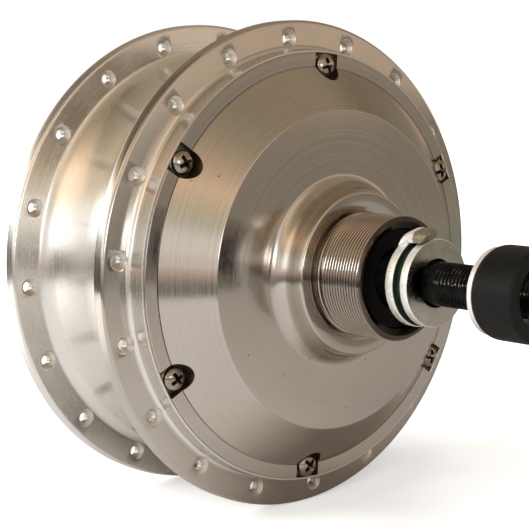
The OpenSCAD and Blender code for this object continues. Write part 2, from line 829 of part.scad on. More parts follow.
// Turned bar, its end flats square to the tabs of the tab washers
module axle_bar() {
    end_y = axle_length / 2;
    chamfer = 1;
    groove_w = circlip_t + 0.2;
    groove_h = 0.5;
    rotate([0, 0, -tab_angle]) difference() {
        turned([
            [0, -end_y],
            [axle_r - chamfer, -end_y],
            [axle_r, -end_y + chamfer],
            [axle_r, collar_y - 0.6],
            [stub_r, collar_y - 0.6],
            [stub_r, collar_y],
            [collar_r, collar_y],
            [collar_r, core_y],
            [stator_seat_r, core_y],
            [stator_seat_r, support_end_y],
            [stator_seat_r - groove_h, support_end_y],
            [stator_seat_r - groove_h, support_end_y + groove_w],
            [stator_seat_r, support_end_y + groove_w],
            [stator_seat_r, left_seat_y],
            [left_seat_r, left_seat_y],
            [left_seat_r, left_bearing_y - groove_w],
            [left_seat_r - groove_h, left_bearing_y - groove_w],
            [left_seat_r - groove_h, left_bearing_y],
            [left_seat_r, left_bearing_y],
            [left_seat_r, shoulder_y],
            [axle_r, shoulder_y],
            [axle_r, end_y - chamfer],
            [axle_r - chamfer, end_y],
            [0, end_y]
        ]);
        axle_end_flats(-end_y - eps, -shoulder_y);
        axle_end_flats(shoulder_y, end_y + eps);
    }
}

module axle() {
    end_y = axle_length / 2;
    bore_end_y = cable_exit_y + cable_exit_d / 2 + 1;
    color("#26272a") on_axle() difference() {
        axle_bar();
        translate([0, 0, -end_y - eps]) cylinder(d = cable_bore_d, h = end_y + eps + bore_end_y);
        translate([0, 0, cable_exit_y]) rotate([0, 90, 0]) cylinder(d = cable_exit_d, h = left_seat_r + eps);
        translate([-key_width / 2, -axle_r - eps, clutch_y + 1])
            cube([key_width, eps + axle_r - cable_bore_d / 2 - 1, clutch_race_l - 2]);
    }
}

// Tube between the clutch race and the drive side tab washer
module axle_sleeve() {
    color("#4a4b4e") on_axle() ring(axle_r + press_gap, sleeve_r, -shoulder_y, clutch_y);
}

// Tube under the sun gear, between the clutch race and the rotor bearing
module inner_spacer() {
    color("#8c8e90") on_axle() ring(axle_r + press_gap, sun_bore_r - 0.4, clutch_top_y, rotor_bearing_y);
}

// Open circlip in a groove whose floor has radius groove_r
module circlip(groove_r, outer_r, y0) {
    opening = 60;
    rotate([0, 0, opening / 2]) rotate_extrude(angle = 360 - opening)
        translate([groove_r + press_gap, y0]) square([outer_r - groove_r - press_gap, circlip_t]);
}

module axle_circlips() {
    groove_h = 0.5;
    color("#55585c") on_axle() {
        circlip(stator_seat_r - groove_h, stator_seat_r + 2.2, support_end_y + 0.1);
        circlip(left_seat_r - groove_h, left_seat_r + 2, left_bearing_y - circlip_t - 0.1);
    }
}

module clutch_key() {
    floor_r = cable_bore_d / 2 + 1 + 0.05;
    top_r = axle_r + 1.2;
    color("#9a9a9a") on_axle()
        translate([-key_width / 2 + press_gap, -top_r, clutch_y + 1 + press_gap])
            cube([key_width - 2 * press_gap, top_r - floor_r, clutch_race_l - 2 - 2 * press_gap]);
}

module clutch_inner_race() {
    color("#a7a9ac") on_axle() difference() {
        ring(axle_r + press_gap, clutch_race_r, clutch_y, clutch_top_y);
        translate([-key_width / 2, -axle_r - 1.3, clutch_y - eps])
            cube([key_width, 2.6, clutch_race_l + 2 * eps]);
    }
}

// Outer clutch ring with a ramped pocket for each roller
module clutch_outer_ring() {
    y0 = clutch_y + 1;
    shift = 12;
    color("#85888c") on_axle() difference() {
        ring(clutch_race_r + 0.5, clutch_ring_r, y0, y0 + clutch_ring_l);
        for (i = [0 : roller_count - 1])
            rotate([0, 0, i * 360 / roller_count]) {
                translate([roller_orbit_r, 0, y0 - eps])
                    cylinder(r = roller_d / 2 + running_gap, h = clutch_ring_l + 2 * eps);
                rotate([0, 0, shift]) translate([roller_orbit_r + 0.25, 0, y0 - eps])
                    cylinder(r = roller_d / 2 + 0.3, h = clutch_ring_l + 2 * eps);
            }
    }
}

module clutch_rollers() {
    y0 = clutch_y + 1.2;
    color("#d0d2d4") on_axle() for (i = [0 : roller_count - 1])
        rotate([0, 0, i * 360 / roller_count]) translate([roller_orbit_r, 0, y0])
            cylinder(d = roller_d, h = clutch_ring_l - 0.4);
}

module planet_carrier() {
    window_r = 7.5;
    color("#9b9ea2") on_axle() difference() {
        turned([
            [clutch_ring_r + press_gap, clutch_y + 0.4],
            [carrier_hub_d / 2, clutch_y + 0.4],
            [carrier_hub_d / 2, carrier_y],
            [carrier_d / 2 - small_edge, carrier_y],
            [carrier_d / 2, carrier_y + small_edge],
            [carrier_d / 2, carrier_top_y],
            [clutch_ring_r + press_gap, carrier_top_y]
        ]);
        for (index = [0 : planet_count - 1]) {
            at_planet(index) translate([0, 0, carrier_y - eps])
                cylinder(r = planet_bearing_bore / 2 + press_gap, h = carrier_t + 2 * eps);
            rotate([0, 0, 60]) at_planet(index) translate([-1, 0, carrier_y - eps])
                cylinder(r = window_r - 1, h = carrier_t + 2 * eps);
        }
    }
}

module planet_pins() {
    pin_r = planet_bearing_bore / 2 - press_gap;
    bearing_end_y = planet_bearing_y + planet_bearing_w;
    groove_h = 0.5;
    pin_end_y = bearing_end_y + circlip_t + 1.2;
    color("#8c8e90") on_axle() for (index = [0 : planet_count - 1])
        at_planet(index) turned([
            [0, carrier_y],
            [pin_r, carrier_y],
            [pin_r, carrier_top_y],
            [pin_collar_r, carrier_top_y],
            [pin_collar_r, planet_bearing_y],
            [pin_r, planet_bearing_y],
            [pin_r, bearing_end_y],
            [pin_r - groove_h, bearing_end_y],
            [pin_r - groove_h, bearing_end_y + circlip_t + 0.2],
            [pin_r, bearing_end_y + circlip_t + 0.2],
            [pin_r, pin_end_y - small_edge],
            [pin_r - small_edge, pin_end_y],
            [0, pin_end_y]
        ]);
}

module pin_circlips() {
    groove_r = planet_bearing_bore / 2 - press_gap - 0.5;
    color("#55585c") on_axle() for (index = [0 : planet_count - 1])
        at_planet(index) circlip(groove_r, groove_r + 1.9, planet_bearing_y + planet_bearing_w + 0.1);
}

// Rotor

module rotor_drum() {
    hub_r = rotor_bearing_r + 3;
    color("#4d5054") on_axle() turned([
        [rotor_bearing_r, rotor_y],
        [rotor_r - small_edge, rotor_y],
        [rotor_r, rotor_y + small_edge],
        [rotor_r, core_end_y + 2],
        [magnet_r, core_end_y + 2],
        [magnet_r, rotor_top_y],
        [hub_r, rotor_top_y],
        [hub_r, rotor_bearing_y + rotor_bearing_w],
        [rotor_bearing_r, rotor_bearing_y + rotor_bearing_w]
    ]);
}

module rotor_magnets() {
    pitch = 360 / magnet_count;
    fill = 0.86;
    overhang = 1;
    color("#3a3c40") on_axle() for (i = [0 : magnet_count - 1])
        rotate([0, 0, i * pitch]) rotate_extrude(angle = pitch * fill)
            translate([magnet_inner_r, core_y - overhang])
                square([magnet_t - press_gap, core_l + 2 * overhang]);
}

// Stator

module stator_support() {
    hub_r = collar_r + 3;
    rim_r = core_bore_d / 2 - press_gap;
    rim_t = 4;
    web_t = 6;
    web_y = core_y + (core_l - web_t) / 2;
    hole_circle_r = (hub_r + rim_r - rim_t) / 2;
    color("#c4c4c2") on_axle() difference() {
        turned([
            [stator_seat_r + press_gap, core_y],
            [hub_r, core_y],
            [hub_r, web_y],
            [rim_r - rim_t, web_y],
            [rim_r - rim_t, core_y],
            [rim_r, core_y],
            [rim_r, core_end_y],
            [rim_r - rim_t, core_end_y],
            [rim_r - rim_t, web_y + web_t],
            [hub_r, web_y + web_t],
            [hub_r, support_end_y],
            [stator_seat_r + press_gap, support_end_y]
        ]);
        around(6, hole_circle_r) translate([0, 0, web_y - eps]) cylinder(r = 4, h = web_t + 2 * eps);
    }
}

module stator_core() {
    shoe_w = 0.76 * 2 * PI * core_r / slot_count;
    color("#5b6470") on_axle() translate([0, 0, core_y]) linear_extrude(core_l) difference() {
        union() {
            circle(r = yoke_r);
            for (i = [0 : slot_count - 1])
                rotate(i * 360 / slot_count) {
                    translate([0, -tooth_w / 2]) square([core_r - shoe_h / 2, tooth_w]);
                    intersection() {
                        circle(r = core_r);
                        translate([core_r - shoe_h, -shoe_w / 2]) square([2 * shoe_h, shoe_w]);
                    }
                }
        }
        circle(d = core_bore_d);
    }
}

// Slot shape with round ends, long along X
module stadium(half_width, straight) {
    translate([-straight / 2, -half_width]) square([straight, 2 * half_width]);
    for (side = [-1, 1])
        translate([side * straight / 2, 0]) circle(r = half_width);
}

module stator_windings() {
    color("#b5622d") on_axle() for (i = [0 : slot_count - 1])
        rotate([0, 0, i * 360 / slot_count]) translate([coil_r0, 0, core_y + core_l / 2])
            rotate([0, 90, 0]) linear_extrude(coil_r1 - coil_r0) difference() {
                stadium(coil_half_w, core_l);
                stadium(tooth_w / 2 + coil_gap, core_l);
            }
}

module hall_board() {
    arc_angle = 110;
    color("#1f5a3a") on_axle() rotate_extrude(angle = arc_angle)
        translate([coil_r0, board_y]) square([coil_r1 - coil_r0, board_t]);
}

// Hardware on the axle ends, drawn for the drive side

// Draws a drive side piece on the left side
module on_left() {
    mirror([0, 0, 1]) children();
}

// Square-sided bore that fits the flats of the axle
module flatted_bore(y0, y1) {
    gap = 0.1;
    translate([0, 0, y0]) linear_extrude(y1 - y0) intersection() {
        circle(r = axle_r + gap);
        rotate(-tab_angle) square([axle_flat_width + 2 * gap, axle_d + 2 * eps], center = true);
    }
}

// Tab that is bent outward over the rim of the loose washer
module washer_tab() {
    inner_r = tab_washer_d / 2 + 0.1;
    outer_r = inner_r + tab_washer_t;
    bend = tab_washer_t;
    tip_y = -dropout_y - tab_reach;
    rotate([0, 0, -90 - tab_angle]) translate([0, tab_width / 2, 0]) rotate([90, 0, 0])
        linear_extrude(tab_width) polygon(concat(
            [
                [inner_r - 2.5, -dropout_y],
                [inner_r, -dropout_y],
                [inner_r, tip_y],
                [outer_r - 0.4, tip_y],
                [outer_r, tip_y + 0.4]
            ],
            arc([outer_r - bend, -shoulder_y - bend], bend, bend, 0, 90, 6),
            [[inner_r - 2.5, -shoulder_y]]
        ));
}

module tab_washer() {
    difference() {
        union() {
            translate([0, 0, -dropout_y]) cylinder(d = tab_washer_d, h = tab_washer_t);
            washer_tab();
        }
        flatted_bore(-dropout_y - eps, -shoulder_y + eps);
    }
}

module spacer_ring() {
    edge = 0.3;
    y1 = -dropout_y - press_gap;
    y0 = y1 - spacer_t;
    turned([
        [washer_bore_d / 2, y0],
        [spacer_d / 2 - edge, y0],
        [spacer_d / 2, y0 + edge],
        [spacer_d / 2, y1 - edge],
        [spacer_d / 2 - edge, y1],
        [washer_bore_d / 2, y1]
    ]);
}

washer_y = -dropout_y - spacer_t - 2 * press_gap - washer_t;
nut_collar_y = washer_y - nut_gap - nut_collar_t;

module loose_washer() {
    edge = 0.3;
    y1 = washer_y + washer_t;
    turned([
        [washer_bore_d / 2, washer_y],
        [washer_d / 2 - edge, washer_y],
        [washer_d / 2, washer_y + edge],
        [washer_d / 2, y1 - edge],
        [washer_d / 2 - edge, y1],
        [washer_bore_d / 2, y1]
    ]);
}

module nut_collar() {
    edge = 0.3;
    y1 = nut_collar_y + nut_collar_t;
    bore_r = axle_r + 0.3;
    turned([
        [bore_r, nut_collar_y],
        [nut_collar_d / 2 - edge, nut_collar_y],
        [nut_collar_d / 2, nut_collar_y + edge],
        [nut_collar_d / 2, y1 - edge],
        [nut_collar_d / 2 - edge, y1],
        [bore_r, y1]
    ]);
}

// Hexagon nut with its corners turned off at the outer end
module axle_nut() {
    corner_r = nut_flats / sqrt(3);
    y1 = nut_collar_y - press_gap;
    y0 = y1 - nut_h;
    bevel = 1;
    difference() {
        intersection() {
            translate([0, 0, y0]) rotate([0, 0, 30]) cylinder(r = corner_r, h = nut_h, $fn = 6);
            turned([
                [0, y0],
                [corner_r - bevel, y0],
                [corner_r, y0 + bevel / 2],
                [corner_r, y1],
                [0, y1]
            ]);
        }
        translate([0, 0, y0 - eps]) cylinder(r = axle_r + 0.06, h = nut_h + 2 * eps);
    }
}

module nut_cap() {
    wall_r = nut_flats / sqrt(3) + press_gap;
    y1 = nut_collar_y - press_gap;
    y0 = y1 - cap_l;
    outer_r = cap_d / 2;
    lip_y = y1 - nut_h - 0.1;
    turned(concat(
        [
            [cap_mouth_d / 2, y0],
            [outer_r - 0.8, y0]
        ],
        arc([outer_r - 0.8, y0 + 0.8], 0.8, 0.8, -60, 0, 2),
        arc([outer_r - 1.2, y1 - cap_shoulder], 1.2, cap_shoulder, 0, 80, 6),
        [
            [wall_r, y1],
            [wall_r, lip_y],
            [cap_mouth_d / 2, lip_y - 0.8]
        ]
    ));
}

module drive_tab_washer() {
    color("#d9d2bd") on_axle() tab_washer();
}

module drive_spacer() {
    color("#2b352f") on_axle() spacer_ring();
}

module drive_washer() {
    color("#b5b3ad") on_axle() loose_washer();
}

module drive_nut_collar() {
    color("#d2cfc6") on_axle() nut_collar();
}

module drive_nut() {
    color("#303234") on_axle() axle_nut();
}

module drive_nut_cap() {
    color("#1f2321") on_axle() nut_cap();
}

module left_tab_washer() {
    color("#d9d2bd") on_axle() on_left() tab_washer();
}

module left_spacer() {
    color("#2b352f") on_axle() on_left() spacer_ring();
}

module left_washer() {
    color("#b5b3ad") on_axle() on_left() loose_washer();
}

module left_nut_collar() {
    color("#d2cfc6") on_axle() on_left() nut_collar();
}

module left_nut() {
    color("#303234") on_axle() on_left() axle_nut();
}

module left_nut_cap() {
    color("#1f2321") on_axle() on_left() nut_cap();
}

hub_shell();
drive_cover();
cover_screws();
spring_washers();
ring_gear();
ring_gear_pins();
drive_bearing_outer();
drive_bearing_inner();
drive_bearing_balls();
drive_seal();
left_bearing_outer();
left_bearing_inner();
left_bearing_balls();
left_seal();
axle();
axle_sleeve();
inner_spacer();
axle_circlips();
clutch_key();
clutch_inner_race();
clutch_outer_ring();
clutch_rollers();
planet_carrier();
planet_pins();
pin_circlips();
planet_gear(0);  // planet_gear_1
planet_gear(1);  // planet_gear_2
planet_gear(2);  // planet_gear_3
planet_bearing_outer(0);  // planet_bearing_outer_1
planet_bearing_outer(1);  // planet_bearing_outer_2
planet_bearing_outer(2);  // planet_bearing_outer_3
planet_bearing_inners();
planet_bearing_balls();
sun_gear();
rotor_drum();
rotor_magnets();
rotor_bearing_outer();
rotor_bearing_inner();
rotor_bearing_balls();
stator_support();
stator_core();
stator_windings();
hall_board();
drive_tab_washer();
drive_spacer();
drive_washer();
drive_nut_collar();
drive_nut();
drive_nut_cap();
left_tab_washer();
left_spacer();
left_washer();
left_nut_collar();
left_nut();
left_nut_cap();
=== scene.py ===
import math

import bmesh
import bpy
import numpy as np
from mathutils import Matrix, Vector


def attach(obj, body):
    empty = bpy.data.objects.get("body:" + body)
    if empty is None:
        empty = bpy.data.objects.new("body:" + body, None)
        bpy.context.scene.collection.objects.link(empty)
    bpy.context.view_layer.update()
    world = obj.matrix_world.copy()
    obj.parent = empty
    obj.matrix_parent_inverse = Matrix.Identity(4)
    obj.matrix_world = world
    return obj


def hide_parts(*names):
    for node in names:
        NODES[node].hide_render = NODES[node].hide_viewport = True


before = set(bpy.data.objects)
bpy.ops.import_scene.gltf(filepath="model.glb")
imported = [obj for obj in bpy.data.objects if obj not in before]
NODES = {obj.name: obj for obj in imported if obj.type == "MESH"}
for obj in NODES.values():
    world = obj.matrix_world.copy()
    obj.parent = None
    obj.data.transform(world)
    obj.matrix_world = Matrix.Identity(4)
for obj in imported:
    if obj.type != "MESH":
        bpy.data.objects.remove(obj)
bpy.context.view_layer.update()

scene = bpy.context.scene

# Sizes in millimetres, as in the CAD source: on the axle's ends places count outward, elsewhere along +Y

AXLE_R = 6.0
FLAT_HALF = 5.3
FLAT_EDGE = (-5.88, 1.2)
END_Y = 110.0
SHOULDER_Y = 64.8
DROPOUT_Y = 67.5
AXLE_PITCH = 1.25
AXLE_ROOT_R = 5.36
AXLE_THREAD_Y = 75.5
AXLE_COLLAR_R = 11.0
AXLE_COLLAR_W = 3.0
STATOR_SEAT_R = 9.0
STATOR_SEAT_END_Y = 24.2
STATOR_CIRCLIP_Y = 22.0
JOURNAL_R = 8.5
JOURNAL_CIRCLIP_Y = 36.8
CIRCLIP_W = 1.2
CIRCLIP_DEPTH = 0.5
CABLE_R = 3.5
CABLE_END_Y = 34.5
CABLE_EXIT_Y = 30.5
CABLE_EXIT_R = 3.0
TAB_TURN = 15.6
TAB_WASHER_R = 12.4
TAB_IN_R = 12.5
TAB_OUT_R = 15.2
TAB_TIP_Y = 73.5
TAB_HALF = 3.4
SHEARED_Y = 69.2
TAB_EDGE = 2.0
TAB_BEND_R = 2.7
TAB_BEND_L = 4.6
HOLE_R = 6.1
HOLE_FLAT_HALF = 5.4
WASHER_BORE_R = 6.5
SPACER_R = 11.0
SPACER_Y = 67.52
SPACER_T = 2.3
WASHER_R = 12.0
WASHER_Y = 69.84
WASHER_T = 2.5
# Centre of the washers' dark smudge: oil with a painted reflection and shadow of the axle
OIL_AND_REFLECTION_SPOT = (-6.0, 0.9)
NUT_COLLAR_BORE_R = 6.3
NUT_COLLAR_R = 11.6
NUT_COLLAR_Y = 92.74
NUT_COLLAR_T = 1.6
CAP_R = 12.4
CAP_Y = 94.36
CAP_END_Y = 107.86
CAP_MOUTH_R = 8.5
CAP_BORE_R = 10.413
CAP_BORE_END_Y = 103.46

FLANGE_R = 71.7
EDGE = 0.9
DRIVE_Y = -18.5
DRIVE_INNER_Y = -14.3
LEFT_Y = 29.9
LEFT_INNER_Y = 25.7
DRUM_R = 58.0
ROOT_R = 63.9
ROOT_L = 9.5
LEFT_ROOT_L = 15.5
BORE_R = 54.0
LIP_R = 63.0
LIP_T = 0.65
LIP_Y = -24.6
LIP_FILLET = 1.8
SPOKES = 18
SPOKE_CIRCLE_R = 66.45
SPOKE_TURN = 4.5
SPOKE_PITCH = 360 / SPOKES
DISC_Y = 52.2
DISC_BOSS_R = 29.0
DISC_BOLTS = 6
DISC_CIRCLE_R = 22.0
DISC_HOLE_R = 2.5
DISC_HOLE_L = 9.0
SPIGOT_R = 17.45
SPIGOT_Y = 55.2
LEFT_BEARING_Y = 38.0
LEFT_BEARING_R = 17.5
LEFT_BEARING_END = 48.0
SEAL_R = 14.0

COVER_R = 62.2
SEAT_Y = -20.5
RING_Y = -25.1
CONE_R = 58.3
FACE_R = 46.0
FACE_Y = -35.4
COVER_WALL = 4.0
BOSS_R = 23.2
BOSS_Y = -43.9
BOSS_FILLET_R = 4.1
BOSS_FILLET_H = 6.2
FREEWHEEL_PITCH = 25.4 / 24
FREEWHEEL_ROOT_R = 16.97
FOOT_OPEN_R = 19.1
FOOT_R = 16.75
THREAD_R = 17.35
THREAD_Y = -45.2
THREAD_END_Y = -59.2
COVER_END_Y = -60.0
MOUTH_R = 15.85
BEARING_LIP = 1.5
DRIVE_BEARING_Y = -44.7
SEAL_FACE_Y = -57.6
SEAL_SEAT_Y = -52.7
RECESS_R = 20.5
RECESS_Y = -36.5
GEAR_SEAT_R = 53.02
GEAR_SEAT_Y = -24.0
GEAR_RELIEF_R = 48.15
GEAR_RELIEF_Y = -25.4
GEAR_PINS = 6
PIN_CIRCLE_R = 50.375
PIN_R = 1.52
SCREWS = 6
SCREW_CIRCLE_R = 58.7
SCREW_TURN = -3.3
SCREW_L = 10.0
SCREW_R = 1.9
HEAD_R = 3.4
HEAD_H = 2.6
CROSS_REACH = 2.5
CROSS_HALF = 0.6
SCREW_SPINS = [20.0, 64.0, 8.0, 47.0, 31.0, 75.0]
POCKET_Y = -22.8
POCKET_W = 8.6
WASHER_SEAT_Y = -23.8
SPRING_SPINS = [110.0, 205.0, 60.0, 150.0, 250.0, 95.0]

# Funnel at both ends of a spoke hole, as radius and depth
FUNNEL = [
    (2.75, 0.0), (2.62, 0.03), (2.52, 0.09), (2.40, 0.19), (1.78, 0.74), (1.64, 0.88), (1.54, 1.03), (1.5, 1.2),
]
FUNNEL_R = FUNNEL[0][0]


def arc(centre, rx, ry, start, end, steps):
    angles = np.radians(np.linspace(start, end, steps + 1))
    return [(centre[0] + rx * math.cos(a), centre[1] + ry * math.sin(a)) for a in angles]


# Outer rim of a disc from y0 to y1, with both corners rounded
def rim(radius, y0, y1, edge, steps):
    return (
        arc((radius - edge, y0 + edge), edge, edge, -90, 0, steps)
        + arc((radius - edge, y1 - edge), edge, edge, 0, 90, steps)
    )


# Solids are pairs of points and faces, in millimetres

def swept(sections, closed=False):
    sections = np.array(sections, float)
    total, count = sections.shape[:2]
    faces = []
    for k in range(total if closed else total - 1):
        here, there = k * count, (k + 1) % total * count
        for i in range(count):
            j = (i + 1) % count
            faces.append((here + i, there + i, there + j, here + j))
    if not closed:
        faces.append(tuple(range(count)))
        faces.append(tuple(range((total - 1) * count, total * count)))
    return sections.reshape(-1, 3), faces


def turned(outline, steps):
    angles = np.arange(steps) * 2 * math.pi / steps
    return swept([[(r * math.cos(a), y, r * math.sin(a)) for r, y in outline] for a in angles], closed=True)


def rod(radius, y0, y1, steps):
    return turned([(0, y0), (radius, y0), (radius, y1), (0, y1)], steps)


def prism(outline, y0, y1):
    return swept([[(a, y, b) for a, b in outline] for y in (y0, y1)])


def joined(*shapes):
    points, faces, shift = [], [], 0
    for p, f in shapes:
        points.append(np.asarray(p))
        faces += [tuple(i + shift for i in face) for face in f]
        shift += len(p)
    return np.concatenate(points), faces


# Puts a solid on a circle round the axle, its first axis outward, turned from the top toward negative X
def placed(shape, radius, turn, spin=0.0):
    points = np.array(shape[0])
    s, t = math.radians(spin), math.radians(turn)
    a = points[:, 0] * math.cos(s) - points[:, 2] * math.sin(s) + radius
    b = points[:, 0] * math.sin(s) + points[:, 2] * math.cos(s)
    x = -a * math.sin(t) - b * math.cos(t)
    z = a * math.cos(t) - b * math.sin(t)
    return np.stack([x, points[:, 1], z], axis=-1), shape[1]


def around(shape, count, radius, turn=0.0, spins=None):
    return joined(*[
        placed(shape, radius, turn + i * 360 / count, spins[i] if spins else 0.0)
        for i in range(count)
    ])


def on_screws(shape, spins=None):
    return around(shape, SCREWS, SCREW_CIRCLE_R, SCREW_TURN, spins)


def mirrored(shape):
    points = np.array(shape[0])
    points[:, 1] *= -1
    return points, shape[1]


# End pieces are drawn for the drive side and mirrored for the left side
def on_side(side, shape):
    return mirrored(shape) if side == "left" else shape


def raw_object(name, shape):
    mesh = bpy.data.meshes.new(name)
    mesh.from_pydata([tuple(p) for p in shape[0]], [], shape[1])
    work = bmesh.new()
    work.from_mesh(mesh)
    bmesh.ops.remove_doubles(work, verts=work.verts, dist=1e-4)
    bmesh.ops.recalc_face_normals(work, faces=work.faces)
    work.to_mesh(mesh)
    work.free()
    piece = bpy.data.objects.new(name, mesh)
    scene.collection.objects.link(piece)
    return piece


# The second solver takes over where the first leaves the mesh as it was
def boolean(piece, shape, operation="DIFFERENCE"):
    tool = raw_object(piece.name + "_tool", shape)
    before = len(piece.data.vertices)
    for solver in ("MANIFOLD", "EXACT"):
        modifier = piece.modifiers.new("boolean", "BOOLEAN")
        modifier.object = tool
        modifier.operation = operation
        modifier.solver = solver
        bpy.context.view_layer.update()
        made = bpy.data.meshes.new_from_object(piece.evaluated_get(bpy.context.evaluated_depsgraph_get()))
        piece.modifiers.clear()
        if len(made.vertices) not in (0, before):
            break
    piece.data = made
    bpy.data.objects.remove(tool)


# Gives a piece its finish, and the faces that a test picks a second one, ties it to its body and hides the node
# that it stands in for
def finished(piece, body, node, slot, sharp, finish=None, second=None, where=None):
    mesh = piece.data
    centres, normals = np.empty((2, len(mesh.polygons) * 3))
    mesh.polygons.foreach_get("center", centres)
    mesh.polygons.foreach_get("normal", normals)
    mesh.transform(Matrix.Scale(0.001, 4))
    mesh.polygons.foreach_set("use_smooth", [True] * len(mesh.polygons))
    mesh.set_sharp_from_angle(angle=math.radians(sharp))
    mesh.materials.clear()
    mesh.materials.append(FINISH[finish or slot])
    if second:
        mesh.materials.append(FINISH[second])
        chosen = where(centres.reshape(-1, 3), normals.reshape(-1, 3))
        mesh.polygons.foreach_set("material_index", chosen.astype(np.int32))
    mesh.update()
    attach(piece, body)
    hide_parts(node)


# Helical groove with a V section, cut from the crests down to root_r
def thread_groove(root_r, crest_r, pitch, y0, y1, runout=0.0):
    root_half = pitch / 16
    top_half = root_half + (crest_r - root_r) * math.tan(math.radians(30))
    outer = crest_r + 0.25
    section = [
        (outer, -top_half), (crest_r, -top_half), (root_r, -root_half),
        (root_r, root_half), (crest_r, top_half), (outer, top_half),
    ]
    turns = (y1 - y0) / pitch
    total = int(turns * 96)
    rows = []
    for k in range(total + 1):
        part = k / total
        y = y0 + (y1 - y0) * part
        lift = 0.0
        if runout:
            lift = max(0.0, 1 - (1 - part) * turns / runout) * (crest_r - root_r + 0.2)
        angle = 2 * math.pi * part * turns
        rows.append([
            ((r + lift) * math.cos(angle), y + dy, (r + lift) * math.sin(angle))
            for r, dy in section
        ])
    return swept(rows)


# Distance of each face from the nearest of the places spread round a circle
def off_centre(centres, circle_r, count, turn):
    pitch = 360 / count
    turns = np.degrees(np.arctan2(-centres[:, 0], centres[:, 2])) - turn
    off = np.radians((turns + pitch / 2) % pitch - pitch / 2)
    radius = np.hypot(centres[:, 0], centres[:, 2])
    return np.hypot(radius * np.cos(off) - circle_r, radius * np.sin(off))


# Shader nodes of one tree, where a value is a number, a colour or another node's socket
class Nodes:
    def __init__(self, tree):
        self.tree = tree

    def put(self, socket, value):
        if isinstance(value, bpy.types.NodeSocket):
            self.tree.links.new(value, socket)
        else:
            socket.default_value = value

    def put_colour(self, socket, value):
        self.put(socket, value if isinstance(value, bpy.types.NodeSocket) else (*value, 1.0))

    def add(self, kind, inputs=None, **settings):
        made = self.tree.nodes.new("ShaderNode" + kind)
        for key, value in settings.items():
            setattr(made, key, value)
        for key, value in (inputs or {}).items():
            self.put(made.inputs[key], value)
        return made

    def math(self, operation, first, *others):
        if not others:
            return self.add("Math", {0: first}, operation=operation).outputs[0]
        for other in others:
            first = self.add("Math", {0: first, 1: other}, operation=operation).outputs[0]
        return first

    def plus(self, *values):
        return self.math("ADD", *values)

    def times(self, *values):
        return self.math("MULTIPLY", *values)

    def most(self, *values):
        return self.math("MAXIMUM", *values)

    def vector(self, operation, a, b=(0.0, 0.0, 0.0)):
        made = self.add("VectorMath", {0: a, 1: b}, operation=operation)
        return made.outputs["Value" if operation in ("DISTANCE", "LENGTH", "DOT_PRODUCT") else "Vector"]

    def fade(self, value, low, high, start=0.0, end=1.0, smooth=True):
        return self.add("MapRange", {
            "Value": value, "From Min": low, "From Max": high, "To Min": start, "To Max": end,
        }, interpolation_type="SMOOTHSTEP" if smooth else "LINEAR").outputs[0]

    # Steps up or down between two sizes in millimetres, for a value in metres
    def rise(self, value, low, high):
        return self.fade(value, low / 1000, high / 1000)

    def fall(self, value, low, high):
        return self.fade(value, low / 1000, high / 1000, 1.0, 0.0)

    # Noise spread over a range of another measure, such as roughness
    def spread(self, value, start, end):
        return self.fade(value, 0.3, 0.7, start, end)

    def mix(self, part, a, b):
        made = self.add("Mix", data_type="RGBA")
        self.put(made.inputs[0], part)
        self.put_colour(made.inputs[6], a)
        self.put_colour(made.inputs[7], b)
        return made.outputs[2]

    def ramp(self, value, stops):
        node = self.add("ValToRGB", {0: value})
        bands = node.color_ramp.elements
        while len(bands) < len(stops):
            bands.new(0.5)
        for element, (place, colour) in zip(bands, stops):
            element.position = place
            element.color = (*colour, 1.0)
        return node.outputs[0]


# A material with its shader, the place on the hub in metres and a chain of bumps
class Finish(Nodes):
    def __init__(self, name):
        self.material = bpy.data.materials.new(name)
        self.material.use_nodes = True
        super().__init__(self.material.node_tree)
        self.shader = self.tree.nodes["Principled BSDF"]
        self.output = self.tree.nodes["Material Output"]
        self.place = self.add("TexCoord").outputs["Object"]
        self.height = None

    # Distance from the axle, position along it, and a coordinate that runs along a turned surface
    def turning(self):
        x, y, z = self.add("SeparateXYZ", {0: self.place}).outputs
        self.radius = self.math("SQRT", self.plus(self.times(x, x), self.times(z, z)))
        self.along = y
        self.path = self.plus(self.times(y, 0.9), self.radius)

    # Distance from a line parallel to the axle, through x and z in millimetres
    def beside(self, x, z):
        flat = self.vector("MULTIPLY", self.place, (1.0, 0.0, 1.0))
        return self.vector("DISTANCE", flat, (x / 1000, 0.0, z / 1000))

    def noise(self, scale, detail=2.0, roughness=0.5, stretch=None):
        at = self.place
        if stretch:
            at = self.add("Mapping", {"Vector": at, "Scale": stretch}).outputs[0]
        return self.add(
            "TexNoise", {"Vector": at, "Scale": scale, "Detail": detail, "Roughness": roughness}
        ).outputs["Fac"]

    def lines(self, scale, detail=2.0):
        return self.add(
            "TexNoise", {"W": self.path, "Scale": scale, "Detail": detail}, noise_dimensions="1D"
        ).outputs["Fac"]

    def cells(self, scale, feature="F1"):
        made = self.add("TexVoronoi", {"Vector": self.place, "Scale": scale}, feature=feature)
        return made.outputs["Distance"]

    def bump(self, height, distance):
        inputs = {"Height": height, "Distance": distance, "Strength": 1.0}
        if self.height:
            inputs["Normal"] = self.height
        self.height = self.add("Bump", inputs).outputs[0]

    # Lathe marks that stretch the highlights round the axle
    def lathe_marks(self):
        tangent = self.add("Tangent", direction_type="RADIAL", axis="Y")
        self.put(self.shader.inputs["Tangent"], tangent.outputs[0])
        self.put(self.shader.inputs["Anisotropic Rotation"], 0.25)

    def done(self, colour, rough, metal=0.0, **others):
        inputs = self.shader.inputs
        self.put_colour(inputs["Base Color"], colour)
        self.put(inputs["Roughness"], rough)
        self.put(inputs["Metallic"], metal)
        for key, value in others.items():
            self.put(inputs[key.replace("_", " ").title().replace("Ior", "IOR")], value)
        if self.height:
            self.put(inputs["Normal"], self.height)
        return self.material
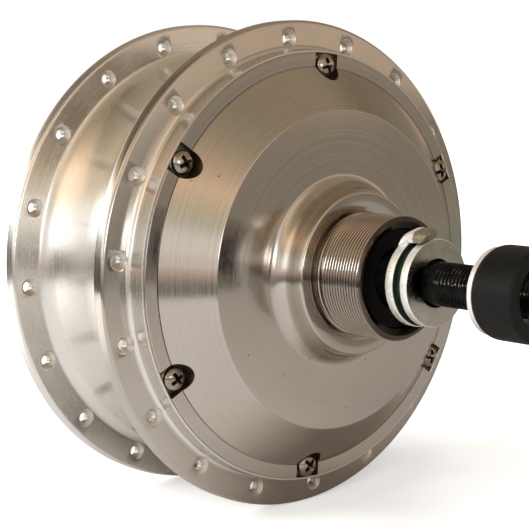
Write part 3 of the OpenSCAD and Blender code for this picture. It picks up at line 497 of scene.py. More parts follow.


# Drum with its root fillets and lip wall, polished brighter than the rest, and the far flange, brighter as a
# painted reflection
def polish_and_far_sheen(f):
    drum = f.times(
        f.rise(f.along, DRIVE_INNER_Y, DRIVE_INNER_Y + 1.2), f.fall(f.along, LEFT_INNER_Y - 1.2, LEFT_INNER_Y),
        f.fall(f.radius, ROOT_R - 0.7, ROOT_R + 0.6),
    )
    lip = f.times(f.fall(f.radius, LIP_R + 0.7, LIP_R + 1.3), f.fall(f.along, DRIVE_Y - 0.1, DRIVE_Y))
    return f.most(drum, lip, f.rise(f.along, LEFT_INNER_Y - 1.5, LEFT_INNER_Y - 0.9))


# Aluminium turned on a lathe: fine rings, slight mottling, small pits
def turned_aluminium(name, base, rough, ring_bump, pits, polish=None):
    f = Finish(name)
    f.turning()
    fine = f.lines(5200.0, 3.0)
    medium = f.lines(900.0, 2.0)
    broad = f.lines(160.0, 1.0)
    speck = f.noise(900.0, 3.0, 0.6)
    shade = f.plus(f.times(medium, 0.35), f.times(fine, 0.3), f.times(f.noise(45.0, 5.0, 0.6), 0.35))
    darker = tuple(c * k for c, k in zip(base, (0.955, 0.95, 0.945)))
    lighter = tuple(c * 1.03 for c in base)
    colour = f.mix(f.fade(shade, 0.38, 0.62), darker, lighter)
    rare = f.fade(f.noise(230.0, 1.0), 0.62, 0.68)
    pit = f.times(f.fade(f.cells(420.0), 0.06, 0.13, 1.0, 0.0), rare, pits)
    colour = f.mix(pit, colour, (0.10, 0.075, 0.055))
    grain = f.spread(f.plus(f.times(fine, 0.5), f.times(medium, 0.5)), rough - 0.03, rough + 0.04)
    grain = f.plus(grain, f.fade(speck, 0.35, 0.75, -0.01, 0.02))
    if polish:
        polish_and_sheen = polish_and_far_sheen(f)
        # Real polish on the drum and lip, painted reflection on the far flange
        colour = f.mix(polish_and_sheen, colour, (0.88, 0.87, 0.85))
        grain = f.plus(grain, f.times(polish_and_sheen, polish))
        flange_lean = f.fade(f.radius, 0.064, 0.072, 1.0, 0.0, smooth=False)
        f.bump(flange_lean, 0.00036)
    f.bump(broad, 0.0000012 * ring_bump)
    f.bump(medium, 0.0000004 * ring_bump)
    f.bump(fine, 0.0000002 * ring_bump)
    f.bump(speck, 0.0000025)
    f.bump(f.times(pit, -1.0), 0.00004)
    f.lathe_marks()
    return f, colour, grain


def shell_finish():
    f, colour, grain = turned_aluminium(
        "shell_aluminium", (0.61, 0.575, 0.535), rough=0.13, ring_bump=1.0, pits=0.5, polish=0.1
    )
    return f.done(colour, grain, 1.0, anisotropic=0.35)


def cover_finish():
    f, colour, grain = turned_aluminium(
        "cover_aluminium", (0.60, 0.56, 0.52), rough=0.14, ring_bump=0.45, pits=1.0
    )
    outer_ring = f.times(f.rise(f.radius, CONE_R, CONE_R + 0.2), f.rise(f.along, RING_Y - 0.2, RING_Y))
    colour = f.mix(outer_ring, colour, (0.63, 0.59, 0.55))
    # Painted shade: a dark line in the groove at the cone's outer edge
    line = f.times(
        f.rise(f.radius, CONE_R - 0.18, CONE_R - 0.12), f.fall(f.radius, CONE_R + 0.12, CONE_R + 0.18)
    )
    colour = f.mix(f.times(line, 0.4), colour, (0.10, 0.08, 0.06))
    boss = f.times(f.fall(f.radius, BOSS_R - 0.4, BOSS_R), f.fall(f.along, BOSS_Y + 0.3, BOSS_Y + 0.5))
    colour = f.mix(boss, colour, (0.54, 0.50, 0.45))
    # Painted shade: the thread's darker tone stands for shade between the flanks, and its roots are nearly black
    threaded = f.times(
        f.fall(f.along, BOSS_Y - 0.8, BOSS_Y - 0.3), f.fall(f.radius, THREAD_R + 0.15, THREAD_R + 0.55)
    )
    colour = f.mix(threaded, colour, (0.52, 0.475, 0.43))
    root = f.times(threaded, f.fall(f.radius, THREAD_R - 0.30, THREAD_R - 0.02))
    colour = f.mix(root, colour, (0.12, 0.10, 0.08))
    grain = f.math("SUBTRACT", grain, f.times(threaded, 0.05))
    # Painted shade: the inside of the mouth is nearly black
    mouth_painted_shade = f.times(f.fall(f.radius, MOUTH_R - 0.15, MOUTH_R + 0.15), f.fall(f.along, -50.0, -49.0))
    colour = f.mix(mouth_painted_shade, colour, (0.02, 0.017, 0.014))
    return f.done(colour, grain, 1.0, anisotropic=0.35)


# Steel with fine scratches and clouds of a second tone
def steel(name, base, second, rough, clouds, scratch, lathe):
    f = Finish(name)
    f.turning()
    fine = f.lines(3800.0, 3.0)
    mottling = f.noise(clouds, 5.0, 0.62)
    speck = f.noise(1500.0, 2.0)
    colour = f.mix(f.fade(mottling, 0.42, 0.62), base, second)
    colour = f.mix(f.fade(speck, 0.62, 0.80, 0.0, 0.35), colour, tuple(c * 0.45 for c in base))
    grain = f.spread(f.plus(f.times(fine, 0.5), f.times(mottling, 0.5)), rough - 0.06, rough + 0.08)
    f.bump(fine, 0.000003 * scratch)
    f.bump(speck, 0.000008 * scratch)
    if lathe:
        f.lathe_marks()
    return f.done(colour, grain, 1.0, anisotropic=0.3 if lathe else 0.0)


# Nearly black oxide, worn on the crests of the end threads, with painted glints as points of bare metal along the
# flat's edge
def axle_finish():
    f = Finish("axle_black")
    f.turning()
    far = f.rise(f.math("ABSOLUTE", f.along), AXLE_THREAD_Y, AXLE_THREAD_Y + 2)
    mottling = f.noise(220.0, 5.0, 0.6)
    scuff = f.noise(700.0, 4.0, 0.6, stretch=(1.0, 0.25, 1.0))
    colour = f.mix(f.fade(mottling, 0.4, 0.65), (0.003, 0.003, 0.003), (0.009, 0.009, 0.008))
    worn = f.times(f.rise(f.radius, AXLE_R - 0.12, AXLE_R - 0.01), f.fade(scuff, 0.50, 0.64, 0.0, 0.12), far)
    colour = f.mix(worn, colour, (0.30, 0.27, 0.24))
    # Painted glints: bright metal points along the flat's edge
    edge = f.fall(f.beside(*FLAT_EDGE), 0.3, 0.55)
    bare = f.times(edge, far, f.fade(f.noise(2600.0, 2.0), 0.52, 0.62, 0.0, 0.6))
    colour = f.mix(bare, colour, (0.60, 0.58, 0.54))
    f.bump(mottling, 0.00002)
    f.bump(f.lines(2600.0, 2.0), 0.000006)
    return f.done(colour, f.spread(scuff, 0.30, 0.44), bare, specular_ior_level=0.06)


def rubber(name, base, rough, grain_scale, dust, shine):
    f = Finish(name)
    cloud = f.noise(120.0, 4.0, 0.6)
    fleck = f.noise(1400.0, 3.0, 0.7)
    colour = f.mix(f.fade(cloud, 0.4, 0.7, 0.0, dust), base, tuple(c + 0.01 for c in base))
    colour = f.mix(f.fade(fleck, 0.66, 0.74, 0.0, dust), colour, (0.16, 0.14, 0.12))
    f.bump(f.cells(grain_scale), 0.00003)
    f.bump(cloud, 0.00008)
    return f.done(colour, f.spread(cloud, rough - 0.06, rough + 0.08), 0.0, specular_ior_level=shine)


# Tab washers: bright zinc in patches, a brown sheared end, and a dark green ring on the face
def zinc_finish():
    f = Finish("washer_zinc")
    f.turning()
    out = f.math("ABSOLUTE", f.along)
    patch = f.noise(330.0, 5.0, 0.65)
    streak = f.noise(900.0, 4.0, 0.7, stretch=(1.0, 0.3, 1.0))
    colour = f.mix(f.fade(patch, 0.40, 0.60), (0.97, 0.98, 0.95), (0.86, 0.85, 0.76))
    colour = f.mix(f.fade(streak, 0.56, 0.70, 0.0, 0.6), colour, (0.56, 0.54, 0.47))
    past_rim = f.rise(f.radius, TAB_WASHER_R - 0.2, TAB_WASHER_R + 0.2)
    sheared = f.times(past_rim, f.rise(out, SHEARED_Y, SHEARED_Y + 0.8))
    colour = f.mix(f.times(sheared, 0.94), colour, (0.22, 0.19, 0.125))
    face = f.times(
        f.rise(out, DROPOUT_Y - 0.3, DROPOUT_Y - 0.1), f.fall(f.radius, TAB_WASHER_R - 0.35, TAB_WASHER_R - 0.15)
    )
    colour = f.mix(face, colour, (0.012, 0.022, 0.015))
    f.bump(patch, 0.00012)
    f.bump(streak, 0.00002)
    metal = f.times(f.math("SUBTRACT", 1.0, face), 0.75)
    return f.done(colour, f.spread(streak, 0.26, 0.44), metal, specular_ior_level=0.25)


# Washers and nut collars: rim painted white as a painted highlight, grey face, and black round the bore and in a
# smudge, oil together with painted shade and a painted reflection of the axle
def washer_finish():
    f = Finish("washer_steel")
    f.turning()
    grit = f.noise(1300.0, 4.0, 0.65)
    cloud = f.noise(260.0, 4.0, 0.6)
    colour = f.mix(f.fade(cloud, 0.35, 0.65), (0.50, 0.49, 0.44), (0.58, 0.57, 0.52))
    colour = f.mix(f.fade(grit, 0.60, 0.72, 0.0, 0.35), colour, (0.26, 0.24, 0.21))
    collar_lack = f.fade(f.math("ABSOLUTE", f.along), 0.080, 0.085, 0.0, (WASHER_R - NUT_COLLAR_R) / 1000)
    # Painted highlight: the rim is painted white
    rim = f.rise(f.plus(f.radius, collar_lack), WASHER_R - 0.22, WASHER_R - 0.10)
    colour = f.mix(rim, colour, (1.0, 1.0, 1.0))
    # Painted reflection and shadow of the axle with oil, and oil with painted contact shade round the bore
    oil_and_axle_reflection = f.plus(f.beside(*OIL_AND_REFLECTION_SPOT), f.times(f.math("SUBTRACT", grit, 0.5), 0.002))
    round_bore = f.plus(f.radius, f.times(cloud, 0.001))
    oil_and_painted_shade = f.most(f.fade(oil_and_axle_reflection, 0.0031, 0.0058, 0.98, 0.0), f.fade(round_bore, 0.0066, 0.0076, 0.95, 0.0))
    colour = f.mix(oil_and_painted_shade, colour, (0.004, 0.004, 0.004))
    f.bump(grit, 0.00001)
    f.bump(cloud, 0.00002)
    rough = f.plus(f.spread(grit, 0.20, 0.28), f.times(rim, 0.12))
    return f.done(colour, rough, f.math("SUBTRACT", 1.0, f.times(rim, 0.22)))


def spacer_finish():
    f = Finish("spacer_green")
    f.turning()
    cloud = f.noise(260.0, 4.0, 0.6)
    colour = f.mix(f.fade(cloud, 0.4, 0.65), (0.004, 0.01, 0.006), (0.012, 0.022, 0.015))
    colour = f.mix(f.fade(f.noise(1100.0, 3.0, 0.7), 0.6, 0.7, 0.0, 0.3), colour, (0.16, 0.15, 0.12))
    f.bump(cloud, 0.00004)
    f.bump(f.lines(3000.0, 2.0), 0.000006)
    return f.done(colour, f.spread(cloud, 0.30, 0.44), 0.0, specular_ior_level=0.22)


def nylon_finish():
    f = Finish("nylon")
    cloud = f.noise(90.0, 4.0, 0.55)
    colour = f.mix(f.fade(cloud, 0.35, 0.65), (0.66, 0.62, 0.50), (0.78, 0.75, 0.65))
    colour = f.mix(f.fade(f.noise(25.0, 3.0), 0.52, 0.66, 0.0, 0.35), colour, (0.42, 0.34, 0.20))
    f.bump(f.noise(1200.0, 2.0), 0.00001)
    return f.done(colour, f.spread(cloud, 0.30, 0.42), 0.0, subsurface_weight=0.15, subsurface_scale=0.002)


def magnet_finish():
    f = Finish("magnet")
    fine = f.noise(1800.0, 3.0, 0.6)
    cloud = f.noise(140.0, 4.0)
    colour = f.mix(f.fade(cloud, 0.4, 0.65), (0.42, 0.41, 0.39), (0.54, 0.53, 0.50))
    colour = f.mix(f.fade(fine, 0.64, 0.74, 0.0, 0.6), colour, (0.16, 0.15, 0.14))
    f.bump(fine, 0.00001)
    return f.done(colour, f.spread(cloud, 0.22, 0.34), 1.0)


# Stacked laminations under a blue powder coat
def core_finish():
    f = Finish("core_steel")
    f.turning()
    sheets = f.add(
        "TexWave", {"Vector": f.place, "Scale": 320.0, "Distortion": 0.1}, bands_direction="Y"
    ).outputs["Fac"]
    cloud = f.noise(220.0, 4.0, 0.6)
    coated = f.fall(f.radius, 45.2, 45.7)
    bare = f.mix(sheets, (0.24, 0.22, 0.20), (0.46, 0.44, 0.41))
    coat = f.mix(f.fade(cloud, 0.4, 0.65), (0.02, 0.045, 0.14), (0.04, 0.08, 0.21))
    f.bump(sheets, 0.00003)
    f.bump(cloud, 0.00003)
    return f.done(f.mix(coated, bare, coat), f.spread(cloud, 0.34, 0.48), f.math("SUBTRACT", 1.0, coated))


def copper_finish():
    f = Finish("copper")
    wire = f.add(
        "TexWave", {"Vector": f.place, "Scale": 420.0, "Distortion": 1.6, "Detail": 1.0},
        bands_direction="DIAGONAL",
    ).outputs["Fac"]
    cloud = f.noise(160.0, 4.0)
    colour = f.mix(f.fade(wire, 0.1, 0.8), (0.20, 0.055, 0.02), (0.72, 0.29, 0.13))
    colour = f.mix(f.fade(cloud, 0.55, 0.7, 0.0, 0.5), colour, (0.34, 0.16, 0.05))
    f.bump(wire, 0.0002)
    return f.done(colour, f.spread(cloud, 0.26, 0.40), 0.9, coat_weight=0.5)


def board_finish():
    f = Finish("board")
    tracks = f.cells(420.0, "DISTANCE_TO_EDGE")
    colour = f.mix(f.fade(tracks, 0.04, 0.09), (0.03, 0.16, 0.07), (0.012, 0.075, 0.035))
    solder = f.fade(f.cells(260.0), 0.16, 0.20, 1.0, 0.0)
    colour = f.mix(solder, colour, (0.62, 0.60, 0.56))
    f.bump(solder, 0.0001)
    return f.done(colour, f.spread(f.noise(300.0), 0.28, 0.42), f.times(solder, 0.9))


# Base, second tone, roughness, scale of the clouds, depth of the scratches, and whether it is turned
STEELS = {
    "sink_aluminium": ((0.74, 0.71, 0.67), (0.64, 0.61, 0.57), 0.36, 500.0, 1.0, False),
    "screw_steel": ((0.36, 0.32, 0.28), (0.48, 0.43, 0.375), 0.16, 400.0, 1.5, False),
    # Painted shade: dark finish for the walls and floor of the screw pockets
    "pocket_painted_shade": ((0.26, 0.22, 0.175), (0.15, 0.125, 0.10), 0.36, 400.0, 1.0, False),
    "spring_steel": ((0.62, 0.59, 0.54), (0.50, 0.47, 0.42), 0.26, 400.0, 1.0, False),
    # Painted shade: nearly black finish for the screws' cross recesses
    "recess_painted_shade": ((0.045, 0.04, 0.035), (0.09, 0.08, 0.07), 0.45, 500.0, 1.0, False),
    "gear_steel": ((0.33, 0.33, 0.34), (0.44, 0.43, 0.42), 0.30, 90.0, 1.4, True),
    "bearing_steel": ((0.58, 0.58, 0.57), (0.68, 0.67, 0.65), 0.18, 120.0, 1.0, True),
    "ball_steel": ((0.66, 0.66, 0.66), (0.72, 0.72, 0.71), 0.10, 200.0, 0.3, False),
    "rotor_steel": ((0.40, 0.40, 0.39), (0.50, 0.49, 0.46), 0.34, 50.0, 1.0, True),
    "support_aluminium": ((0.66, 0.65, 0.63), (0.74, 0.73, 0.70), 0.38, 70.0, 1.0, True),
}

FINISH = {name: steel(name, *values) for name, values in STEELS.items()}
FINISH.update({
    "shell_aluminium": shell_finish(),
    "cover_aluminium": cover_finish(),
    "seal_rubber": rubber("seal_rubber", (0.003, 0.003, 0.003), 0.55, 1800.0, 0.1, 0.12),
    "cap_rubber": rubber("cap_rubber", (0.004, 0.0045, 0.0045), 0.40, 2600.0, 0.05, 0.20),
    "axle_black": axle_finish(),
    "spacer_green": spacer_finish(),
    "washer_zinc": zinc_finish(),
    "washer_steel": washer_finish(),
    "nylon": nylon_finish(),
    "magnet": magnet_finish(),
    "core_steel": core_finish(),
    "copper": copper_finish(),
    "board": board_finish(),
})

# Nodes that keep their CAD shape and only get a finish
PLAIN_NODES = {
    "gear_steel": [
        "ring_gear", "ring_gear_pins", "sun_gear", "planet_carrier", "planet_pins", "clutch_outer_ring",
        "clutch_inner_race", "clutch_key", "axle_circlips", "pin_circlips", "inner_spacer", "clutch_rollers",
        "drive_nut", "left_nut",
    ],
    "bearing_steel": [
        *[f"{place}_bearing_{ring}" for place in ("drive", "left", "rotor") for ring in ("inner", "outer")],
        "planet_bearing_inners", *[f"planet_bearing_outer_{i}" for i in (1, 2, 3)],
    ],
    "ball_steel": [f"{place}_bearing_balls" for place in ("drive", "left", "rotor", "planet")],
    "nylon": [f"planet_gear_{i}" for i in (1, 2, 3)],
    "magnet": ["rotor_magnets"],
    "rotor_steel": ["rotor_drum"],
    "core_steel": ["stator_core"],
    "copper": ["stator_windings"],
    "support_aluminium": ["stator_support"],
    "board": ["hall_board"],
    "seal_rubber": ["left_seal"],
    "axle_black": ["axle_sleeve"],
}


def spoke_hole(y0, y1):
    outline = [(0, y0 - 0.6), (FUNNEL_R, y0 - 0.6)] + [(r, y0 + d) for r, d in FUNNEL]
    outline += [(r, y1 - d) for r, d in reversed(FUNNEL)] + [(FUNNEL_R, y1 + 0.6), (0, y1 + 0.6)]
    return turned(outline, 48)


def build_shell():
    lip_in = LIP_R - LIP_T
    bearing_out = LEFT_BEARING_R + 4
    outline = [
        (BORE_R, SEAT_Y), (lip_in, SEAT_Y), (lip_in, LIP_Y + 0.1), (lip_in + 0.1, LIP_Y),
        (LIP_R - 0.14, LIP_Y), (LIP_R, LIP_Y + 0.14),
    ]
    outline += arc((LIP_R + LIP_FILLET, DRIVE_Y - LIP_FILLET), LIP_FILLET, LIP_FILLET, 180, 90, 16)
    outline += rim(FLANGE_R, DRIVE_Y, DRIVE_INNER_Y, EDGE, 8)
    outline += arc((ROOT_R, DRIVE_INNER_Y + ROOT_L), ROOT_R - DRUM_R, ROOT_L, 270, 180, 40)
    outline += arc((ROOT_R, LEFT_INNER_Y - LEFT_ROOT_L), ROOT_R - DRUM_R, LEFT_ROOT_L, 180, 90, 48)
    outline += rim(FLANGE_R, LEFT_INNER_Y, LEFT_Y, EDGE, 8)
    outline += arc((LIP_R - 0.6, LEFT_Y + 2), 2, 2, 270, 220, 10)
    outline += arc((DISC_BOSS_R + 3, DISC_Y - 6), 3, 3, 245, 180, 12)
    outline += [
        (DISC_BOSS_R, DISC_Y - 0.5), (DISC_BOSS_R - 0.5, DISC_Y), (SPIGOT_R, DISC_Y), (SPIGOT_R, SPIGOT_Y - 0.5),
        (SPIGOT_R - 0.5, SPIGOT_Y), (SEAL_R, SPIGOT_Y), (SEAL_R, LEFT_BEARING_END),
        (LEFT_BEARING_R, LEFT_BEARING_END), (LEFT_BEARING_R, LEFT_BEARING_Y - 1),
        (bearing_out, LEFT_BEARING_Y - 1), (bearing_out, LEFT_BEARING_Y + 0.6),
        (DISC_BOSS_R + 1, LEFT_BEARING_Y + 0.6), (BORE_R - 2, LEFT_Y - 0.1), (BORE_R, LEFT_Y - 2.4),
    ]
    shell = raw_object("hub_shell_detailed", turned(outline, 360))
    screw_hole = turned([(0, SEAT_Y - 0.6), (2.0, SEAT_Y - 0.6), (2.0, SEAT_Y + 7.1), (0, SEAT_Y + 8.1)], 32)
    disc_hole = turned([
        (0, DISC_Y - DISC_HOLE_L), (DISC_HOLE_R, DISC_Y - DISC_HOLE_L), (DISC_HOLE_R, DISC_Y - 0.4),
        (DISC_HOLE_R + 0.6, DISC_Y + 0.2), (0, DISC_Y + 0.2),
    ], 40)
    boolean(shell, joined(
        around(spoke_hole(DRIVE_Y, DRIVE_INNER_Y), SPOKES, SPOKE_CIRCLE_R, SPOKE_TURN),
        around(spoke_hole(LEFT_INNER_Y, LEFT_Y), SPOKES, SPOKE_CIRCLE_R, SPOKE_TURN + SPOKE_PITCH / 2),
        on_screws(screw_hole),
        around(disc_hole, DISC_BOLTS, DISC_CIRCLE_R),
    ))

    def in_sink(centres, normals):
        turn = SPOKE_TURN + np.where(centres[:, 1] > 5, SPOKE_PITCH / 2, 0.0)
        near = off_centre(centres, SPOKE_CIRCLE_R, SPOKES, turn)
        return (near < FUNNEL_R + 0.01) & (np.abs(normals[:, 1]) < 0.97)

    finished(shell, "hub", "hub_shell", "shell_aluminium", 25, second="sink_aluminium", where=in_sink)


def build_cover():
    outline = [
        (GEAR_SEAT_R, SEAT_Y), (COVER_R + 0.12, SEAT_Y), (COVER_R + 0.12, RING_Y + 0.12), (COVER_R, RING_Y),
        (CONE_R + 0.14, RING_Y), (CONE_R + 0.08, RING_Y + 0.18), (CONE_R - 0.08, RING_Y + 0.18),
        (CONE_R - 0.12, RING_Y - 0.10), (FACE_R + 0.18, FACE_Y + 0.151), (FACE_R + 0.06, FACE_Y + 0.056),
        (FACE_R - 0.05, FACE_Y + 0.013), (FACE_R - 0.18, FACE_Y),
    ]
    outline += arc(
        (BOSS_R + 0.7 + BOSS_FILLET_R, FACE_Y - BOSS_FILLET_H), BOSS_FILLET_R, BOSS_FILLET_H, 90, 180, 36
    )
    outline += arc((BOSS_R - 0.6, BOSS_Y + 0.6), 0.7, 0.6, 0, -90, 6)
    outline += [
        (FOOT_OPEN_R, BOSS_Y), (18.8, BOSS_Y + 0.10), (17.7, BOSS_Y + 0.20), (17.5, BOSS_Y + 0.35),
        (17.2, BOSS_Y + 0.45), (16.9, BOSS_Y + 0.35), (FOOT_R, BOSS_Y + 0.1), (FOOT_R, THREAD_Y + 0.3),
        (THREAD_R, THREAD_Y), (THREAD_R, THREAD_END_Y), (THREAD_R - 0.62, COVER_END_Y), (MOUTH_R, COVER_END_Y),
        (MOUTH_R - 0.25, COVER_END_Y + 0.15), (SEAL_R, COVER_END_Y + 1.2), (SEAL_R, SEAL_SEAT_Y),
        (SEAL_R - BEARING_LIP, SEAL_SEAT_Y), (SEAL_R - BEARING_LIP, DRIVE_BEARING_Y), (SEAL_R, DRIVE_BEARING_Y),
        (SEAL_R, RECESS_Y), (RECESS_R, RECESS_Y), (RECESS_R, FACE_Y + COVER_WALL),
        (FACE_R - COVER_WALL, FACE_Y + COVER_WALL), (GEAR_RELIEF_R, GEAR_RELIEF_Y), (GEAR_RELIEF_R, GEAR_SEAT_Y),
        (GEAR_SEAT_R, GEAR_SEAT_Y),
    ]
    cover = raw_object("drive_cover_detailed", turned(outline, 360))
    half = POCKET_W / 2
    pocket = prism([(POCKET_W, half), *arc((0, 0), half, half, 90, 270, 32), (POCKET_W, -half)], FACE_Y, POCKET_Y)
    pin_hole = rod(PIN_R, GEAR_SEAT_Y - 3.2, GEAR_SEAT_Y + 2.8, 24)
    pins_turn = SCREW_TURN + 180 / GEAR_PINS
    boolean(cover, joined(on_screws(pocket), around(pin_hole, GEAR_PINS, PIN_CIRCLE_R, pins_turn)))
    boolean(cover, on_screws(rod(2.2, POCKET_Y - 0.5, SEAT_Y + 0.5, 32)))
    boolean(cover, thread_groove(
        FREEWHEEL_ROOT_R, THREAD_R, FREEWHEEL_PITCH, COVER_END_Y - 0.7, THREAD_Y + 0.6
    ))

    # Pocket walls and floor get the dark finish of painted shade
    def in_pocket(centres, normals):
        radius = np.hypot(centres[:, 0], centres[:, 2])
        deep = (radius > 53.5) & (radius < COVER_R - 0.01) & (centres[:, 1] < POCKET_Y + 0.05)
        floor = np.abs(centres[:, 1] - POCKET_Y) < 0.03
        return deep & ((np.abs(normals[:, 1]) < 0.05) | floor)

    finished(cover, "hub", "drive_cover", "cover_aluminium", 25, second="pocket_painted_shade", where=in_pocket)


def build_screws():
    seat = WASHER_SEAT_Y
    top = seat - HEAD_H
    outline = [
        (0, seat + SCREW_L), (SCREW_R - 0.5, seat + SCREW_L), (SCREW_R, seat + SCREW_L - 0.5),
        (SCREW_R, seat + 0.15), (SCREW_R + 0.15, seat), (HEAD_R - 0.3, seat),
    ]
    outline += arc((HEAD_R - 0.2, seat - 0.2), 0.2, 0.2, 90, 0, 3)
    outline += arc((0, seat - 0.8), HEAD_R, HEAD_H - 0.8, 0, -90, 18)
    w, r = CROSS_HALF, CROSS_REACH
    cross = [
        (w, -w), (w, -r), (-w, -r), (-w, -w), (-r, -w), (-r, w),
        (-w, w), (-w, r), (w, r), (w, w), (r, w), (r, -w),
    ]
    recess = swept([
        [(a * share, top + depth, b * share) for a, b in cross]
        for share, depth in ((1.12, -0.4), (1.0, 0.1), (0.36, 1.9))
    ])
    screws = raw_object("cover_screws_detailed", on_screws(turned(outline, 64), SCREW_SPINS))
    boolean(screws, on_screws(recess, SCREW_SPINS))

    # Cross recess walls get the nearly black finish of painted shade
    def in_recess(centres, normals):
        near = off_centre(centres, SCREW_CIRCLE_R, SCREWS, SCREW_TURN)
        return (near < CROSS_REACH + 0.2) & (np.abs(normals[:, 1]) < 0.6) & (centres[:, 1] < seat - 0.85)

    finished(screws, "hub", "cover_screws", "screw_steel", 32, second="recess_painted_shade", where=in_recess)


def build_spring_washers():
    ring = turned([
        (2.1, WASHER_SEAT_Y + 0.1), (2.2, WASHER_SEAT_Y), (3.45, WASHER_SEAT_Y), (3.6, WASHER_SEAT_Y + 0.15),
        (3.6, POCKET_Y - 0.15), (3.45, POCKET_Y), (2.2, POCKET_Y), (2.1, POCKET_Y - 0.1),
    ], 72)
    slit = swept([
        [(0.5, y, b), (5.0, y, b), (5.0, y, b + 0.6), (0.5, y, b + 0.6)]
        for y, b in ((POCKET_Y + 0.4, -0.75), (WASHER_SEAT_Y - 0.4, 0.15))
    ])
    washers = raw_object("spring_washers_detailed", on_screws(ring, SPRING_SPINS))
    boolean(washers, on_screws(slit, SPRING_SPINS))
    finished(washers, "hub", "spring_washers", "screw_steel", 32, finish="spring_steel")


def flats(y0, y1):
    side = prism([(FLAT_HALF, -9), (FLAT_HALF + 8, -9), (FLAT_HALF + 8, 9), (FLAT_HALF, 9)], y0, y1)
    return joined(placed(side, 0.0, TAB_TURN + 90), placed(side, 0.0, TAB_TURN + 270))


def circlip_groove(radius, y):
    deep = radius - CIRCLIP_DEPTH
    return [(radius, y), (deep, y), (deep, y + CIRCLIP_W), (radius, y + CIRCLIP_W)]


def build_axle():
    outline = [
        (0, -END_Y), (AXLE_R - 1, -END_Y), (AXLE_R, -END_Y + 1), (AXLE_R, -AXLE_COLLAR_W - 0.6),
        (7.8, -AXLE_COLLAR_W - 0.6), (7.8, -AXLE_COLLAR_W), (AXLE_COLLAR_R, -AXLE_COLLAR_W),
        (AXLE_COLLAR_R, 0.0), (STATOR_SEAT_R, 0.0), *circlip_groove(STATOR_SEAT_R, STATOR_CIRCLIP_Y),
        (STATOR_SEAT_R, STATOR_SEAT_END_Y), (JOURNAL_R, STATOR_SEAT_END_Y),
        *circlip_groove(JOURNAL_R, JOURNAL_CIRCLIP_Y),
        (JOURNAL_R, SHOULDER_Y - 0.25), (JOURNAL_R - 0.25, SHOULDER_Y), (AXLE_R, SHOULDER_Y),
        (AXLE_R, END_Y - 1), (AXLE_R - 1, END_Y), (0, END_Y),
    ]
    axle = raw_object("axle_detailed", turned(outline, 128))
    boolean(axle, flats(-END_Y - 1, -SHOULDER_Y))
    boolean(axle, flats(SHOULDER_Y, END_Y + 1))
    thread = thread_groove(AXLE_ROOT_R, AXLE_R, AXLE_PITCH, -END_Y - 1.4, -AXLE_THREAD_Y, 0.8)
    boolean(axle, joined(thread, mirrored(thread)))
    boolean(axle, turned([
        (0, -END_Y - 1), (CABLE_R + 0.5, -END_Y - 1), (CABLE_R + 0.5, -END_Y), (CABLE_R, -END_Y + 0.5),
        (CABLE_R, CABLE_END_Y), (0, CABLE_END_Y),
    ], 64))
    points, faces = rod(CABLE_EXIT_R, 0, 12, 48)
    boolean(axle, (np.stack([points[:, 1], points[:, 0] + CABLE_EXIT_Y, points[:, 2]], axis=-1), faces))
    finished(axle, "axle", "axle", "axle_black", 25)


def build_tab_washer(side):
    name = side + "_tab_washer"
    face = -DROPOUT_Y
    back = -SHOULDER_Y
    disc = turned([(0, face)] + rim(TAB_WASHER_R, face, back, 0.35, 5) + [(0, back)], 144)
    rows = []
    for b in TAB_HALF * np.sin(np.radians(np.linspace(-90, 90, 25))):
        past = min(max(0.0, abs(b) - TAB_HALF + TAB_EDGE), 0.99 * TAB_EDGE)
        top = TAB_OUT_R - TAB_EDGE + math.sqrt(TAB_EDGE ** 2 - past ** 2)
        end = -TAB_TIP_Y + 1.5 * (1 - math.sqrt(1 - min(abs(b) / TAB_HALF, 0.999) ** 2))
        low, high = min(0.5, 0.3 * (top - TAB_IN_R)), min(1.2, 0.6 * (top - TAB_IN_R))
        side_view = (
            [(TAB_IN_R - 2.5, face + 0.02), (TAB_IN_R, face + 0.02)]
            + arc((TAB_IN_R + low, end + low), low, low, 180, 270, 4)
            + arc((top - high, end + high), high, high, -90, 0, 6)
            + arc((top - TAB_BEND_R, back - TAB_BEND_L), TAB_BEND_R, TAB_BEND_L, 0, 90, 14)
            + [(TAB_IN_R - 2.5, back)]
        )
        rows.append([(a, y, b * (1 + 0.35 * max(0.0, 1 + (y - back) / 3.0) ** 2)) for a, y in side_view])
    tab = placed(swept(rows), 0.0, TAB_TURN)
    half = math.degrees(math.acos(HOLE_FLAT_HALF / HOLE_R))
    ends = arc((0, 0), HOLE_R, HOLE_R, half, 180 - half, 39)
    ends += arc((0, 0), HOLE_R, HOLE_R, 180 + half, 360 - half, 39)
    hole = placed(prism(ends, face - 1, back + 1), 0.0, TAB_TURN + 90)
    piece = raw_object(name + "_detailed", on_side(side, disc))
    boolean(piece, on_side(side, tab), "UNION")
    boolean(piece, on_side(side, hole))
    finished(piece, "axle", name, "washer_zinc", 32)


def edge_ring(inner_r, outer_r, start, thick, steps):
    y0, y1 = -start - thick, -start
    return turned([
        (inner_r, y0 + 0.15), (inner_r + 0.15, y0), *rim(outer_r, y0, y1, 0.3, 5),
        (inner_r + 0.15, y1), (inner_r, y1 - 0.15),
    ], steps)


